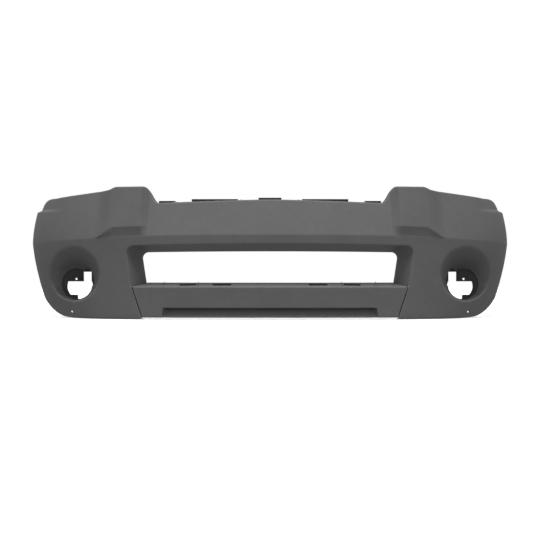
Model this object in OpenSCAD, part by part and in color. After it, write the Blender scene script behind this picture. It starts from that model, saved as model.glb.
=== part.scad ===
// Front bumper cover of a mid-size sport-utility vehicle, in millimetres.
//
// -Y is the front of the vehicle, +X its left side and +Z is up. The model is drawn with its
// lowest edge at z = 0 and its foremost point near y = 0, and place() then puts the origin at
// the hole of the centre tab, where the cover hangs from the grille support.
//
// The outer skin is a plan curve (a superellipse from wheel arch to wheel arch) and, at every
// height, an inset from that curve. Both mouldings take their faces from the same skin.

/* [Cover] */
// Width across the wheel-arch lips
overall_w = 1834; // [1700:10:2000]
// Depth from the foremost point to the wheel-arch lips
overall_d = 560; // [480:10:640]
// Squareness of the plan curve
plan_power = 3.2; // [2.8:0.1:3.6]
// Wall of every moulding
wall = 3; // [2.5:0.5:4]
// Height of the crease under the upper face, at the centre
crease_z = 308; // [300:1:320]
// Drop of the crease from the centre to the wheel arches
crease_drop = 30; // [0:1:40]
// Height of the top edge at the centre
center_top_z = 437; // [425:1:450]
// Width of the flange along the top and the wheel arches
flange_w = 25; // [18:1:30]
// Width of the flange under the lower edge
lower_flange_w = 30; // [20:1:40]

/* [Towers] */
// Height of the tower tops above the lower edge
tower_top_z = 485; // [470:1:500]
// Distance from the centre to the foot of a tower's inner side
tower_foot_x = 446; // [433:1:453]
// Distance from the centre to the inner edge of a tower's face
tower_in_x = 475; // [468:1:488]
// Distance from the centre to the outer edge of a tower's face
tower_out_x = 581; // [564:1:594]
// How far the foot of a tower stands out of the upper face
tower_relief = 18; // [10:1:25]

/* [Wheel arch] */
// Radius of the wheel arch
arch_r = 440; // [420:5:470]
// Height of the wheel centre above the lower edge
arch_z = 70; // [50:5:90]
// Height of the top of the flare
flare_z = 403; // [395:1:410]

/* [Lower grille opening] */
// Half width of the front rim at its top
rim_top_x = 524; // [503:1:533]
// Half width of the front rim at its foot, which is the top of the seam
rim_foot_x = 506; // [492:1:517]
// Height of the rim's top at the centre
rim_top_z = 276; // [265:1:285]
// Height of the rim's foot
rim_foot_z = 119; // [110:1:130]
// Depth of the tapering walls behind the rim
funnel_d = 80; // [60:5:100]
// How far the side walls taper inwards
funnel_side = 57; // [40:1:70]
// How far the top wall tapers down
funnel_top = 29; // [20:1:40]
// How far the shelf rises towards the back
shelf_rise = 15; // [5:1:20]
// Corner radius of the rim
rim_r = 26; // [18:1:34]

/* [Center valance] */
// Half width of the valance at its lower edge
seam_foot_x = 467; // [452:1:482]
// Gap of the seam between the valance and the cover
seam_gap = 3.5; // [2:0.5:5]
// Height of the valance's lower edge
valance_z = 6; // [3:1:12]
// Half width of the recess in the lower edge
recess_x = 396; // [370:1:410]
// Height of the top of the recess
recess_z = 43; // [35:1:50]
// Depth of the recess
recess_d = 28; // [20:1:35]

/* [Fog lamps] */
// Distance from the centre to a lamp's axis
lamp_x = 728; // [704:1:744]
// Height of a lamp's axis
lamp_z = 124; // [120:1:140]
// Radius of the tunnel at its back end
tunnel_r = 57; // [52:1:60]
// Radius of the lobe beside the tunnel's back end
lobe_r = 34; // [30:1:36]
// Depth of the tunnel behind the skin at the lamp's axis
tunnel_d = 130; // [100:5:160]
// Distance from the centre to the middle of the tunnel's mouth
mouth_x = 729; // [725:1:745]
// Height of the middle of the tunnel's mouth
mouth_z = 165; // [155:1:175]
// Half width of the mouth
mouth_rx = 103; // [86:1:106]
// Half height of the mouth
mouth_rz = 101; // [90:1:110]
// Radius of the light opening in a lamp bracket
bracket_open_r = 48; // [40:1:50]
// Radius of a lamp screw hole
lamp_hole_r = 4; // [3:0.5:5]

/* [Fasteners] */
// Radius of a self-tapping screw
screw_r = 2; // [1.5:0.1:2.5]
// Radius of a rivet's shank
rivet_r = 4; // [3:0.5:5]
// Radius of a rivet's centre pin
pin_r = 2.5; // [2:0.1:3]
// Travel of a centre pin from locked to released
pin_travel = 6; // [4:0.5:8]
// Radius of the holes in the top tabs
tab_hole_r = 4; // [3:0.5:5]

/* [Hidden] */

gap = 0.3;               // clearance between pieces that lie face to face
running = 0.08;          // radial clearance of a pin in its sleeve
lean = 16;               // slope of the front upper face, degrees from upright
tuck = 3.5;              // slope of the front lower face, degrees
side_upper = 0.0013;     // curvature of the flare above the crease, per millimetre
side_lower = 0.00095;    // curvature of the flare below the crease, per millimetre
ledge_step = 12;         // step above the flare
chamfer_h = 36;          // height of the sloping underside of a tower
tower_fade = 75;         // width over which a tower's outer side runs into the wing
tower_growth = 0.09;     // how much more a tower stands out per millimetre of height
dark = [0.30, 0.30, 0.30];
black = [0.09, 0.09, 0.09];
steel = [0.65, 0.65, 0.67];
grey = [0.43, 0.43, 0.43];

// ---------- arithmetic ----------
function clamp(v) = max(0, min(1, v));
function mix(a, b, f) = a + (b - a) * f;
function smooth(a, b, v) = let (f = clamp((v - a) / (b - a))) f * f * (3 - 2 * f);
function unit(v) = v / norm(v);
function last(v) = v[len(v) - 1];
function mirrored(v) = concat([for (i = [len(v) - 1:-1:1]) -v[i]], v);

// ---------- plan curve: t runs from 0 at the centre to 90 degrees at the wheel arch ----------
function plan_x(t) = half_w * pow(sin(t), 2 / plan_power);
function plan_y(t) = overall_d * (1 - cos(t));
function plan_t(x) = asin(pow(min(abs(x) / half_w, 1), plan_power / 2));
function plan_normal(t) = t < 0.5 ? [0, -1] :
    unit([overall_d * sin(t), -half_w * 2 / plan_power * pow(sin(t), 2 / plan_power - 1) * cos(t)]);

// ---------- outlines of the skin, by distance from the centre or by t ----------
function crease_at(x) = crease_z - crease_drop * pow(abs(x) / half_w, 2.8);
function wing_top(x) = tower_top_z - 11 - 0.107 * (x - tower_out_x - 23);
function front_top(x) =
    x < tower_foot_x - 31 ? center_top_z - 12 * pow(min(x, 400) / 400, 1.3) :
    x < tower_out_x - 12 ? mix(center_top_z - 12, tower_top_z, smooth(tower_foot_x - 31, tower_in_x - 2, x)) :
    mix(tower_top_z, wing_top(x), smooth(tower_out_x - 12, tower_out_x + 23, x));
corner_t = 59.5;         // where the top edge starts to round down
fender_t = 77;           // where it meets the flare
function top_at(t) = t < corner_t ? front_top(plan_x(t)) :
    t >= fender_t ? flare_z :
    mix(flare_z, wing_top(plan_x(corner_t)),
        sqrt(1 - pow((t - corner_t) / (fender_t - corner_t), 3.6)));
function bottom_at(t) = 66 * pow(max(0, (t - 25) / 65), 3.8);
arch_y = overall_d + sqrt(arch_r * arch_r - pow(400 - arch_z, 2));
function arch_t(z) = acos(1 - min(overall_d,
    arch_y - sqrt(arch_r * arch_r - pow(min(z, 400) - arch_z, 2))) / overall_d);
// The wheel arch cuts the plan curve short. The cover is widest this far above the crease.
widest = 27;
half_w = (overall_w / 2 + side_upper * widest * widest) /
    pow(sin(arch_t(crease_z - crease_drop + widest)), 2 / plan_power);

// ---------- skin: inset from the plan curve at every height ----------
function tower_share(x, above) =
    clamp((x - tower_foot_x) / (tower_in_x - tower_foot_x)) *
    clamp((above - 2) / (chamfer_h - 2)) *
    (1 - smooth(tower_out_x, tower_out_x + tower_fade, x));
function tower_out(x, above) =
    tower_share(x, above) * (tower_relief + tower_growth * (above - chamfer_h));
function front_inset(above) = above > 0 ? above * tan(lean) : -above * tan(tuck);
function side_inset(above) = (above > 0 ? side_upper : side_lower) * above * above;
function inset_at(t, z) =
    let (x = plan_x(t), above = z - crease_at(x))
    mix(front_inset(above), side_inset(above), smooth(30, 68, t)) - tower_out(x, above) +
    ledge_step * smooth(50, 68, t) * smooth(flare_z - 5, flare_z + 5, z);

// A point of the skin, or one that lies deeper by extra.
function skin(t, z, extra = 0, side = 1) =
    let (n = plan_normal(t), d = inset_at(t, z) + extra)
    [side * (plan_x(t) - n[0] * d), plan_y(t) - n[1] * d, z];
// The plan parameter whose skin point is straight behind x at height z.
function t_behind(x, z, k = 6) = k == 0 ? plan_t(x) :
    let (t = t_behind(x, z, k - 1)) plan_t(abs(x) + plan_normal(t)[0] * inset_at(t, z));
function on_skin(x, z, back = 0) =
    let (t = t_behind(x, z)) [x, plan_y(t) - plan_normal(t)[1] * inset_at(t, z) + back, z];

// ---------- a sheet of even wall behind a grid of points, g[column][row] ----------
function grid_normal(g, c, r, ring) =
    let (nc = len(g), nr = len(g[0]),
         dc = ring ? g[(c + 1) % nc][r] - g[(c + nc - 1) % nc][r]
                   : g[min(c + 1, nc - 1)][r] - g[max(c - 1, 0)][r],
         dr = g[c][min(r + 1, nr - 1)] - g[c][max(r - 1, 0)], n = cross(dc, dr))
    norm(n) > 1e-6 || r == 0 ? unit(n) : grid_normal(g, c, r - 1, ring);
function sheet_points(g, w, ring) = concat(
    [for (c = [0:len(g) - 1]) for (r = [0:len(g[0]) - 1]) g[c][r]],
    [for (c = [0:len(g) - 1]) for (r = [0:len(g[0]) - 1]) g[c][r] - w * grid_normal(g, c, r, ring)]);
function quad(a, b, c, d) = [[a, b, c], [a, c, d]];
module sheet(g, w = wall, ring = false) {
    nc = len(g);
    nr = len(g[0]);
    n = nc * nr;
    function at(c, r) = (c % nc) * nr + r;
    steps = ring ? nc - 1 : nc - 2;
    skins = [for (c = [0:steps]) for (r = [0:nr - 2]) each concat(
        quad(at(c, r), at(c, r + 1), at(c + 1, r + 1), at(c + 1, r)),
        quad(n + at(c, r), n + at(c + 1, r), n + at(c + 1, r + 1), n + at(c, r + 1)))];
    rims = [for (c = [0:steps]) each concat(
        quad(at(c, 0), at(c + 1, 0), n + at(c + 1, 0), n + at(c, 0)),
        quad(at(c + 1, nr - 1), at(c, nr - 1), n + at(c, nr - 1), n + at(c + 1, nr - 1)))];
    ends = ring ? [] : [for (r = [0:nr - 2]) each concat(
        quad(at(0, r + 1), at(0, r), n + at(0, r), n + at(0, r + 1)),
        quad(at(nc - 1, r), at(nc - 1, r + 1), n + at(nc - 1, r + 1), n + at(nc - 1, r)))];
    polyhedron(sheet_points(g, w, ring), concat(skins, rims, ends), convexity = 8);
}

// ---------- paths seen from the front: lists of [x, z] ----------
function arc(cx, cz, r, a0, a1, n) =
    [for (i = [0:n]) let (a = mix(a0, a1, i / n)) [cx + r * cos(a), cz + r * sin(a)]];
function flip(path) = [for (i = [len(path) - 1:-1:0]) [-path[i][0], path[i][1]]];
// An upside-down U with rounded corners, from its left foot to its right foot.
function u_path(foot_x, foot_z, top_x, top_z, r, sag = 0, steps = [0.45, 1], mids = 6) =
    let (half = concat(
            [for (i = [0:mids]) [top_x * 0.93 * i / mids - (i == mids ? r - 0.07 * top_x : 0),
                                 top_z - sag * pow(i / mids, 2)]],
            [for (p = arc(top_x - r, top_z - sag - r, r, 67.5, 0, 3)) p],
            [for (f = steps) [mix(top_x, foot_x, f), mix(top_z - sag - r, foot_z, f)]]))
    concat(flip([for (i = [1:len(half) - 1]) half[i]]), half);

// ---------- place and sides ----------
function top_edge(x, back = 0, up = 0) =
    let (z = front_top(abs(x))) skin(plan_t(x), z, 0, sign(x + 0.001)) + [0, back, up];
tab_rise = 7;            // how far the tabs of the support strip stand above the top edge
tab_d = 30;              // depth of a tab, from front to back
tab_front = flange_w + 3;
tab_hole_y = 16;         // distance of a tab's hole behind the tab's front
datum = top_edge(0, tab_front + tab_hole_y, tab_rise - wall / 2);
module place() translate(-datum) children();
function side_of(name) = name == "left" ? 1 : -1;
module on_side(s) if (s > 0) children(); else mirror([1, 0, 0]) children();
// Joins its children as one mesh, so that the bores cut from them afterwards stay true cylinders.
module one_mesh() resize([0, 0, 0]) children();

// ---------- cover shell ----------
front_stations = [0, 70, 140, 210, 280, 340, 390, 408, 424, 434];
tower_stations = [0, 0.3, 0.65, 1];
wing_stations = [590, 605, 622, 637, 652, 680, 710, 740, 770, 800, 825];
side_stations = [60, 63.5, 67, 70, 73, 75.5, 77, 80, 83, 86.5, 90];
station_t = concat(
    [for (x = front_stations) plan_t(min(x, tower_foot_x - 9))],
    [for (f = tower_stations) plan_t(mix(tower_foot_x, tower_in_x, f))],
    [for (f = [0.3, 0.6, 0.85, 1]) plan_t(mix(tower_in_x, tower_out_x, f))],
    [for (x = wing_stations) plan_t(x)],
    side_stations);
turn_t = 56;             // behind this the stations lean with the wheel arch
function leaned(t, z) = t <= turn_t ? t : mix(turn_t, arch_t(z), (t - turn_t) / (90 - turn_t));
function shell_rows(t) =
    let (zb = bottom_at(t), zc = crease_at(plan_x(t)), zt = top_at(t),
         zl = min(flare_z - 5, zt - 12), zh = min(flare_z + 5, zt - 8))
    concat(
        [[mix(lower_flange_w, 10, smooth(74, 88, t)), zb], [6, zb], [1.5, zb + 2], [0, zb + 8]],
        [for (f = [0.25, 0.5, 0.75]) [0, mix(zb + 8, zc - 6, f)]],
        [for (dz = [-6, 0, 8, 20, chamfer_h, chamfer_h + 10]) [0, zc + dz]],
        [for (f = [0.35, 0.7]) [0, mix(zc + chamfer_h + 10, zl, f)]],
        [[0, zl], [0, zh], [0, mix(zh, zt - 5, 0.5)], [0, zt - 5], [1.5, zt - 1.5], [5, zt], [flange_w, zt]]);
function shell_column(t, side, lip = [0, 0]) =
    [for (r = shell_rows(t)) skin(leaned(t, r[1]), r[1], lip[0] + r[0] * (lip[0] > 0 ? 0.2 : 1), side) + [0, lip[1], 0]];
lips = [[2.5, 1.5], [flange_w, 1.5]];  // the wheel-arch lip: inset and setback of its two columns
shell_grid = concat(
    [for (i = [1:-1:0]) shell_column(90, -1, lips[i])],
    [for (i = [len(station_t) - 1:-1:1]) shell_column(station_t[i], -1)],
    [for (t = station_t) shell_column(t, 1)],
    [for (i = [0:1]) shell_column(90, 1, lips[i])]);

function rim_path(grow = 0) = u_path(rim_foot_x + grow, rim_foot_z, rim_top_x + grow, rim_top_z + grow, rim_r, 7);
function throat_path(grow = 0) = u_path(rim_foot_x - funnel_side + 5 + grow, rim_foot_z + shelf_rise,
    rim_top_x - funnel_side + grow, rim_top_z - funnel_top + grow, rim_r - 4, 3);
// Walls between a path on the skin and a path further back, with a flange behind them.
function walls_grid(front, back, flange, depth) = [for (i = [0:len(front) - 1])
    let (f = front[i], b = back[i], g = flange[i], y = on_skin(f[0], f[1])[1])
    [[g[0], y + depth, g[1]], [b[0], y + depth, b[1]],
     [mix(b[0], f[0], 0.5), y + depth / 2, mix(b[1], f[1], 0.5)], [f[0], y + 0.5, f[1]]]];
module window(path, foot_x, y0, y1)
    translate([0, y1, 0]) rotate([90, 0, 0]) linear_extrude(y1 - y0)
        polygon(concat(path, [[foot_x, -20], [-foot_x, -20]]));

mouth_steps = 32;
function mouth_point(a) = [mouth_x + mouth_rx * cos(a), mouth_z + mouth_rz * sin(a)];
lamp_y = on_skin(lamp_x, lamp_z)[1] + tunnel_d;
function tunnel_ring(a, f) =
    let (m = mouth_point(a), p = on_skin(m[0], m[1], 0.5),
         q = [lamp_x + tunnel_r * cos(a), lamp_y, lamp_z + tunnel_r * sin(a)])
    mix(p, q, f);
ear_r = tunnel_r + 20;   // radius of the ring behind the tunnel and of the bracket on it
boss_r = 6;
boss_at = tunnel_r + 12; // radius of the circle of bracket screws
boss_angles = [65, 220, 320];
boss_len = 14;
function tunnel_grid() = [for (i = [0:mouth_steps - 1]) let (a = -360 * i / mouth_steps)
    concat([[lamp_x + ear_r * cos(a), lamp_y, lamp_z + ear_r * sin(a)]],
           [for (f = [1, 0.66, 0.33, 0]) tunnel_ring(a, f)])];
// The cut for the mouth, a little inside the tunnel's walls.
module mouth_void() translate([mouth_x, lamp_y - 40, mouth_z]) rotate([90, 0, 0])
    linear_extrude(lamp_y) scale([mouth_rx - 1, mouth_rz - 1]) circle(1, $fn = 48);
lobe = [-50, 28];        // the middle of the lobe, outwards and up from the lamp's axis
module lobe_void() lamp_axis() translate([lobe[0], -lobe[1], -60]) cylinder(r = lobe_r, h = 90, $fn = 40);
module lamp_axis() translate([lamp_x, lamp_y, lamp_z]) rotate([-90, 0, 0]) children();
module around_lamp() for (a = boss_angles) lamp_axis() rotate([0, 0, -a]) translate([boss_at, 0, 0]) children();

// The main moulding without its bores: one mesh, brought to its exact width.
module shell_body() resize([overall_w, 0, 0]) {
    difference() {
        sheet(shell_grid);
        window(rim_path(), seam_foot_x, -40, 130);
        for (s = [1, -1]) on_side(s) mouth_void();
    }
    sheet(walls_grid(rim_path(1), throat_path(), throat_path(14), funnel_d));
    for (s = [1, -1]) on_side(s) {
        difference() {
            union() {
                sheet(tunnel_grid(), wall, true);
                around_lamp() translate([0, 0, -boss_len]) cylinder(r = boss_r, h = boss_len + 1, $fn = 24);
            }
            lobe_void();
        }
        seam_frame() {
            seam_ear(seam_gap / 2 + ear_gap, 2.5);
            seam_tongue();
        }
    }
}

small_hole_x = 738;      // the splash-shield screw hole in the face, under the lamp
small_hole_z = 24;

// The frame of a seam: origin on the seam's middle, z along it, x away from the centre.
seam_mid_x = (rim_foot_x + seam_foot_x) / 2;
seam_mid_z = rim_foot_z / 2;
seam_angle = atan2(rim_foot_x - seam_foot_x, rim_foot_z);
seam_y = on_skin(seam_mid_x, seam_mid_z)[1];
module seam_frame() translate([seam_mid_x, seam_y, seam_mid_z]) rotate([tuck, 0, 0])
    rotate([0, seam_angle, 0]) children();
ear_d = 34;              // depth of the ears behind the seam
ear_gap = 1.5;           // from a seam's edge to the face of its ear
rivet_pitch = 32;
rivet_y = 20;            // distance of the rivets behind the skin
rivet_zs = [-rivet_pitch, 0, rivet_pitch];
ear_len = 2 * rivet_pitch + 24;
module seam_ear(x, y) translate([x, y, -ear_len / 2]) cube([wall, ear_d - y, ear_len]);
// The tongue on the cover's ear closes the view through the seam, behind the valance's ear.
tongue_d = 0.8;          // from the ear's back edge to the tongue
module seam_tongue() {
    translate([seam_gap / 2 + ear_gap, ear_d - 1, -ear_len / 2]) cube([wall, tongue_d + 1 + wall, ear_len]);
    translate([-seam_gap / 2 - ear_gap - wall, ear_d + tongue_d, -ear_len / 2 - tongue_over])
        cube([seam_gap + 2 * ear_gap + 2 * wall - 0.5, wall, ear_len + 2 * tongue_over]);
}
tongue_over = 16;        // how far the tongue reaches past the ear at both ends
module ear_bores() for (z = rivet_zs) translate([-20, rivet_y, z]) rotate([0, 90, 0])
    cylinder(r = rivet_r + 0.2, h = 40, $fn = 48);

module cover_shell() color(grey) difference() {
    shell_body();
    at_strip_screws() translate([0, 0, -10]) cylinder(r = screw_r + 0.3, h = 20, $fn = 32);
    for (s = [1, -1]) on_side(s) {
        seam_frame() ear_bores();
        around_lamp() translate([0, 0, -boss_len + 2]) cylinder(r = screw_r + 0.1, h = boss_len + 10, $fn = 32);
        translate([small_hole_x, 60, small_hole_z]) rotate([-90, 0, 0]) cylinder(r = 3, h = 170, $fn = 32);
        guide_holes();
    }
}

// ---------- center valance ----------
function seam_x(z) = mix(seam_foot_x, rim_foot_x, z / rim_foot_z) - seam_gap;
recess_narrowing = 5;    // how much narrower the recess is at its top
side_slope = 14;         // how far the recess's sides lean inwards at its top
function recess_edge(z) = recess_x - recess_narrowing * z / recess_z;
// Columns: half of them across the recess, then two at each of its sides, then out to the seam.
valance_columns = mirrored([0, 1, 2, 3, 4, 5, 6, 7, 8, 9]);
function column_x(c, z) = let (k = abs(c), e = recess_edge(z), d = e - 2 - side_slope * clamp(z / recess_z))
    sign(c) * (k <= 6 ? d * k / 6 : mix(e, seam_x(z), (k - 7) / 2));
function recess_depth(c, z) = abs(c) > 6 || z >= recess_z ? 0 :
    mix(recess_d * 0.3, recess_d, clamp((z - valance_z) / (recess_z - valance_z)));
function valance_point(c, z, extra = 0) =
    let (x = column_x(c, z), p = on_skin(abs(x), z)) [x, p[1] + extra + recess_depth(c, z), z];
shelf_back_x = rim_foot_x - funnel_side + 5 - seam_gap;
function shelf_point(c, f, drop = 0) =
    let (x0 = column_x(c, rim_foot_z), y = on_skin(abs(x0), rim_foot_z)[1])
    [x0 * mix(1, shelf_back_x / seam_x(rim_foot_z), f), y + funnel_d * f, rim_foot_z + shelf_rise * f - drop];
valance_grid = [for (c = valance_columns) concat(
    [valance_point(c, valance_z, 22), valance_point(c, valance_z, 5), valance_point(c, valance_z + 3)],
    [for (z = [recess_z * 0.5, recess_z - 1.5, recess_z, 60, 90, rim_foot_z - 5]) valance_point(c, z)],
    [for (f = [0.05, 0.35, 0.7, 1]) shelf_point(c, f)], [shelf_point(c, 1.02, 14)])];
slots = [[141, 210], [269, 331]];   // the slots in the shelf, from the centre
slot_y = [26, 62];       // front and back of those slots, behind the rim
drain = [329, 368];      // the drain slot at each end of the recess, from the centre

module valance_body() one_mesh() {
    difference() {
        sheet(valance_grid);
        for (s = [1, -1]) on_side(s) {
            for (x = slots) translate([x[0], on_skin(x[0], rim_foot_z)[1] + slot_y[0], rim_foot_z - 10])
                cube([x[1] - x[0], slot_y[1] - slot_y[0], 40]);
            translate([drain[0], on_skin(drain[0], recess_z)[1] + 6, recess_z - 5])
                cube([drain[1] - drain[0], 17, 20]);
        }
    }
    for (s = [1, -1]) on_side(s) seam_frame() seam_ear(-seam_gap / 2 - ear_gap - wall, 0.5);
}
module center_valance() color(dark) difference() {
    valance_body();
    for (s = [1, -1]) on_side(s) seam_frame() ear_bores();
}

// ---------- support strip behind the top edge ----------
strip_drop = wall + 1.2; // the strip lies this far under the top edge, below the cover's flange
strip_stations = mirrored([for (x = front_stations) if (x < 410) x]);
strip_screw_xs = [-345, -105, 105, 345];
strip_screw_y = 16;      // distance of the strip's screws behind the top edge
strip_grid = [for (x = strip_stations)
    [top_edge(x, 8, -strip_drop), top_edge(x, 36, -strip_drop), top_edge(x, 50, -strip_drop),
     top_edge(x, 52, -strip_drop - 14)]];
// The tabs: the middle of each, and its width.
tabs = [[0, 84], [203, 168], [-203, 168], [381, 58], [-381, 58]];
// A tab is turned to lie along the top edge.
function edge_turn(x) = let (n = plan_normal(plan_t(x))) sign(x) * atan2(n[0], -n[1]);
module at_tab(x) translate(top_edge(x, tab_front + tab_hole_y, tab_rise)) rotate([0, 0, edge_turn(x)]) children();
module tab(w) translate([-w / 2, -tab_hole_y, 0]) {
    translate([0, 0, -wall]) cube([w, tab_d, wall]);
    translate([0, 0, -tab_rise - strip_drop - wall]) cube([w, wall, tab_rise + strip_drop + wall]);
}
module at_strip_screws() for (x = strip_screw_xs) translate(top_edge(x, strip_screw_y)) children();
module top_support_strip() color(black) difference() {
    one_mesh() {
        sheet(strip_grid);
        for (t = tabs) at_tab(t[0]) tab(t[1]);
    }
    for (t = tabs) at_tab(t[0]) translate([0, 0, -wall - 5]) cylinder(r = tab_hole_r, h = wall + 10, $fn = 48);
    at_strip_screws() translate([0, 0, -20]) cylinder(r = screw_r + 0.1, h = 30, $fn = 32);
}
// A screw along z, its head on z = 0 and its tip at -length.
module screw(length, head_r = 4.5, head_h = 2) {
    translate([0, 0, -length]) cylinder(r = screw_r, h = length, $fn = 32);
    cylinder(r = head_r, h = head_h, $fn = 32);
}
module top_strip_screws() color(steel) at_strip_screws() translate([0, 0, 0.15]) screw(12);

// ---------- fog lamp brackets ----------
// Distances in the bracket's outline run outwards and up from the lamp's axis.
bracket_t = wall;
lamp_holes = [[3, 21], [-73, 17]];
light_at = [-11, -6];    // the middle of the light opening
light_top = 12;          // its flat top
slot_x = [-54, -25];     // the slot beside the bulb holder
slot_top = 48;
module bracket_outline() difference() {
    union() {
        circle(r = ear_r, $fn = 96);
        translate(lobe) circle(r = lobe_r + 10, $fn = 64);
    }
    translate(light_at) intersection() {
        circle(r = bracket_open_r, $fn = 96);
        translate([-60, -60]) square([120, 60 + light_top - light_at[1]]);
    }
    translate([slot_x[0], 0]) square([slot_x[1] - slot_x[0], slot_top]);
    for (h = lamp_holes) translate(h) circle(r = lamp_hole_r, $fn = 32);
    for (a = boss_angles) rotate(a) translate([boss_at, 0]) circle(r = screw_r + 0.3, $fn = 32);
}
// On the lamp's axis z runs to the back, so the outline is turned over to point up.
module fog_bracket() color(black) lamp_axis() mirror([0, 1, 0]) translate([0, 0, wall + gap]) {
    linear_extrude(bracket_t) bracket_outline();
    translate([-3, -57, 0]) cube([30, 18.5, bracket_t]);
    translate([0, 0, bracket_t - 0.01]) linear_extrude(14) difference() {
        translate(light_at) circle(r = bracket_open_r + 4, $fn = 96);
        translate(light_at) circle(r = bracket_open_r + 1, $fn = 96);
        translate([-100, -20]) square([200, 100]);
    }
}
module fog_bracket_screws() color(steel) around_lamp()
    translate([0, 0, wall + gap + bracket_t + 0.2]) screw(10 + wall + gap + bracket_t, 4.5, 3);

// ---------- side guides, under the flange at the fender ----------
guide_len = 76;
guide_mid = skin(84, flare_z, 5);
guide_tilt = atan2(skin(88, flare_z, 0)[0] - skin(80, flare_z, 0)[0], skin(88, flare_z, 0)[1] - skin(80, flare_z, 0)[1]);
module guide_frame() translate([guide_mid[0], guide_mid[1], flare_z]) rotate([0, 0, -guide_tilt]) children();
module guide_screw_places() for (y = [-24, 24]) translate([-9, y, 0]) children();
module guide_holes() guide_frame() guide_screw_places()
    translate([0, 0, -wall - 2]) cylinder(r = screw_r + 0.3, h = wall + 6, $fn = 32);
module side_guide() color(black) guide_frame() translate([0, 0, -wall - gap]) difference() {
    union() {
        translate([-18, -guide_len / 2, -wall]) cube([17, guide_len, wall]);
        translate([-18, -guide_len / 2, -26]) cube([wall, guide_len, 26]);
        guide_screw_places() translate([0, 0, -10]) cylinder(r = 4, h = 10, $fn = 32);
    }
    guide_screw_places() translate([0, 0, -9]) cylinder(r = screw_r + 0.1, h = 12, $fn = 32);
    for (y = [-24, 0, 24]) translate([-20, y, -17]) rotate([0, 90, 0]) cylinder(r = 3.2, h = 8, $fn = 32);
}
module side_guide_screws() color(steel) guide_frame() guide_screw_places()
    translate([0, 0, 0.2]) screw(7 + wall + gap);

// ---------- push rivets through the seam's ears ----------
rivet_head_x = -seam_gap / 2 - ear_gap - wall;   // the face of the valance's ear under the rivet's head
rivet_grip = 2 * -rivet_head_x;
module rivet_place(i) seam_frame() translate([rivet_head_x - gap, rivet_y, rivet_zs[i]]) rotate([0, 90, 0]) children();
module rivet_sleeve() {
    difference() {
        union() {
            translate([0, 0, -2]) cylinder(r = 9, h = 2, $fn = 48);
            cylinder(r = rivet_r, h = rivet_grip + 7, $fn = 48);
        }
        translate([0, 0, -3]) cylinder(r = pin_r + running, h = rivet_grip + 20, $fn = 48);
        for (a = [0, 90]) rotate(a) translate([-0.6, -10, rivet_grip - 4]) cube([1.2, 20, 20]);
    }
}
module rivet_pin() {
    translate([0, 0, -2 - gap - 1.6]) cylinder(r = 5.5, h = 1.6, $fn = 48);
    translate([0, 0, -2 - gap - 0.01]) cylinder(r = pin_r, h = rivet_grip + 7 + 2 + gap, $fn = 48);
}
module rivet_sleeves() color(black) for (i = [0:2]) rivet_place(i) rivet_sleeve();
module rivet_pins(i) color(black) rivet_place(i) rivet_pin();

module draw(name) place() children();
draw("cover_shell") cover_shell();
draw("center_valance") center_valance();
draw("top_support_strip") top_support_strip();
draw("top_strip_screws") top_strip_screws();
for (s = ["left", "right"]) {
    draw(str("fog_bracket_", s)) on_side(side_of(s)) fog_bracket();
    draw(str("fog_bracket_screws_", s)) on_side(side_of(s)) fog_bracket_screws();
    draw(str("side_guide_", s)) on_side(side_of(s)) side_guide();
    draw(str("side_guide_screws_", s)) on_side(side_of(s)) side_guide_screws();
    draw(str("rivet_sleeves_", s)) on_side(side_of(s)) rivet_sleeves();
    for (i = [0:2]) draw(str("rivet_pin_", s, "_", i + 1)) on_side(side_of(s)) rivet_pins(i);
}
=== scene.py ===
"""Looks of a front bumper cover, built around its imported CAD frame.

Everything is in metres, in the frame's axes: -Y is the front of the vehicle, +X its left side and
+Z is up. The two grey mouldings are built again here from the same skin as in CAD, at a finer step
and with the radii of real mouldings: a flat sheet of triangles is laid out in the skin's own two
coordinates, s along the plan curve and q up the profile, and is then bent into place.
"""
import math

import bmesh
import bpy
import numpy as np
from mathutils import Matrix, Vector
from mathutils.geometry import delaunay_2d_cdt


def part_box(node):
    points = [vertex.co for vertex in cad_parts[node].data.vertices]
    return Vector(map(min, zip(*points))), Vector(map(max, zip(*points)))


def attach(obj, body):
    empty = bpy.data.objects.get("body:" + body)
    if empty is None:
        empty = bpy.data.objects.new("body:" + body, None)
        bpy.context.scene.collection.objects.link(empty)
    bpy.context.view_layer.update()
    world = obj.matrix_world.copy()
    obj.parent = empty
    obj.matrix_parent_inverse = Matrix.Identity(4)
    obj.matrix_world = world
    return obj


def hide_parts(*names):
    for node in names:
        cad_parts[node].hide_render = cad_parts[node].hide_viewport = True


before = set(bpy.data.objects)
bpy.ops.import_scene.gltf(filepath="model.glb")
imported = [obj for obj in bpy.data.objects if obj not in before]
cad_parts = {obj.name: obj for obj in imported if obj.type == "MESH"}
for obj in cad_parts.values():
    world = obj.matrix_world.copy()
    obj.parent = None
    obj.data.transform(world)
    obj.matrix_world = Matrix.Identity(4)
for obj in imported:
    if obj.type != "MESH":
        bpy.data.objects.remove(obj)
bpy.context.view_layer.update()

LOW, HIGH = (np.array(corner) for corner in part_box("cover_shell"))
ROOT = "cover"
SIDES = {"left": 1, "right": -1}

# ---------- camera ----------
CAMERA_DISTANCE = 7.0
VIEW_WIDTH = 1.955          # what the picture spans at the cover's front
CAMERA_HEIGHT = 0.209       # above the lowest edge
HORIZON_SHIFT = -0.0148


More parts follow.
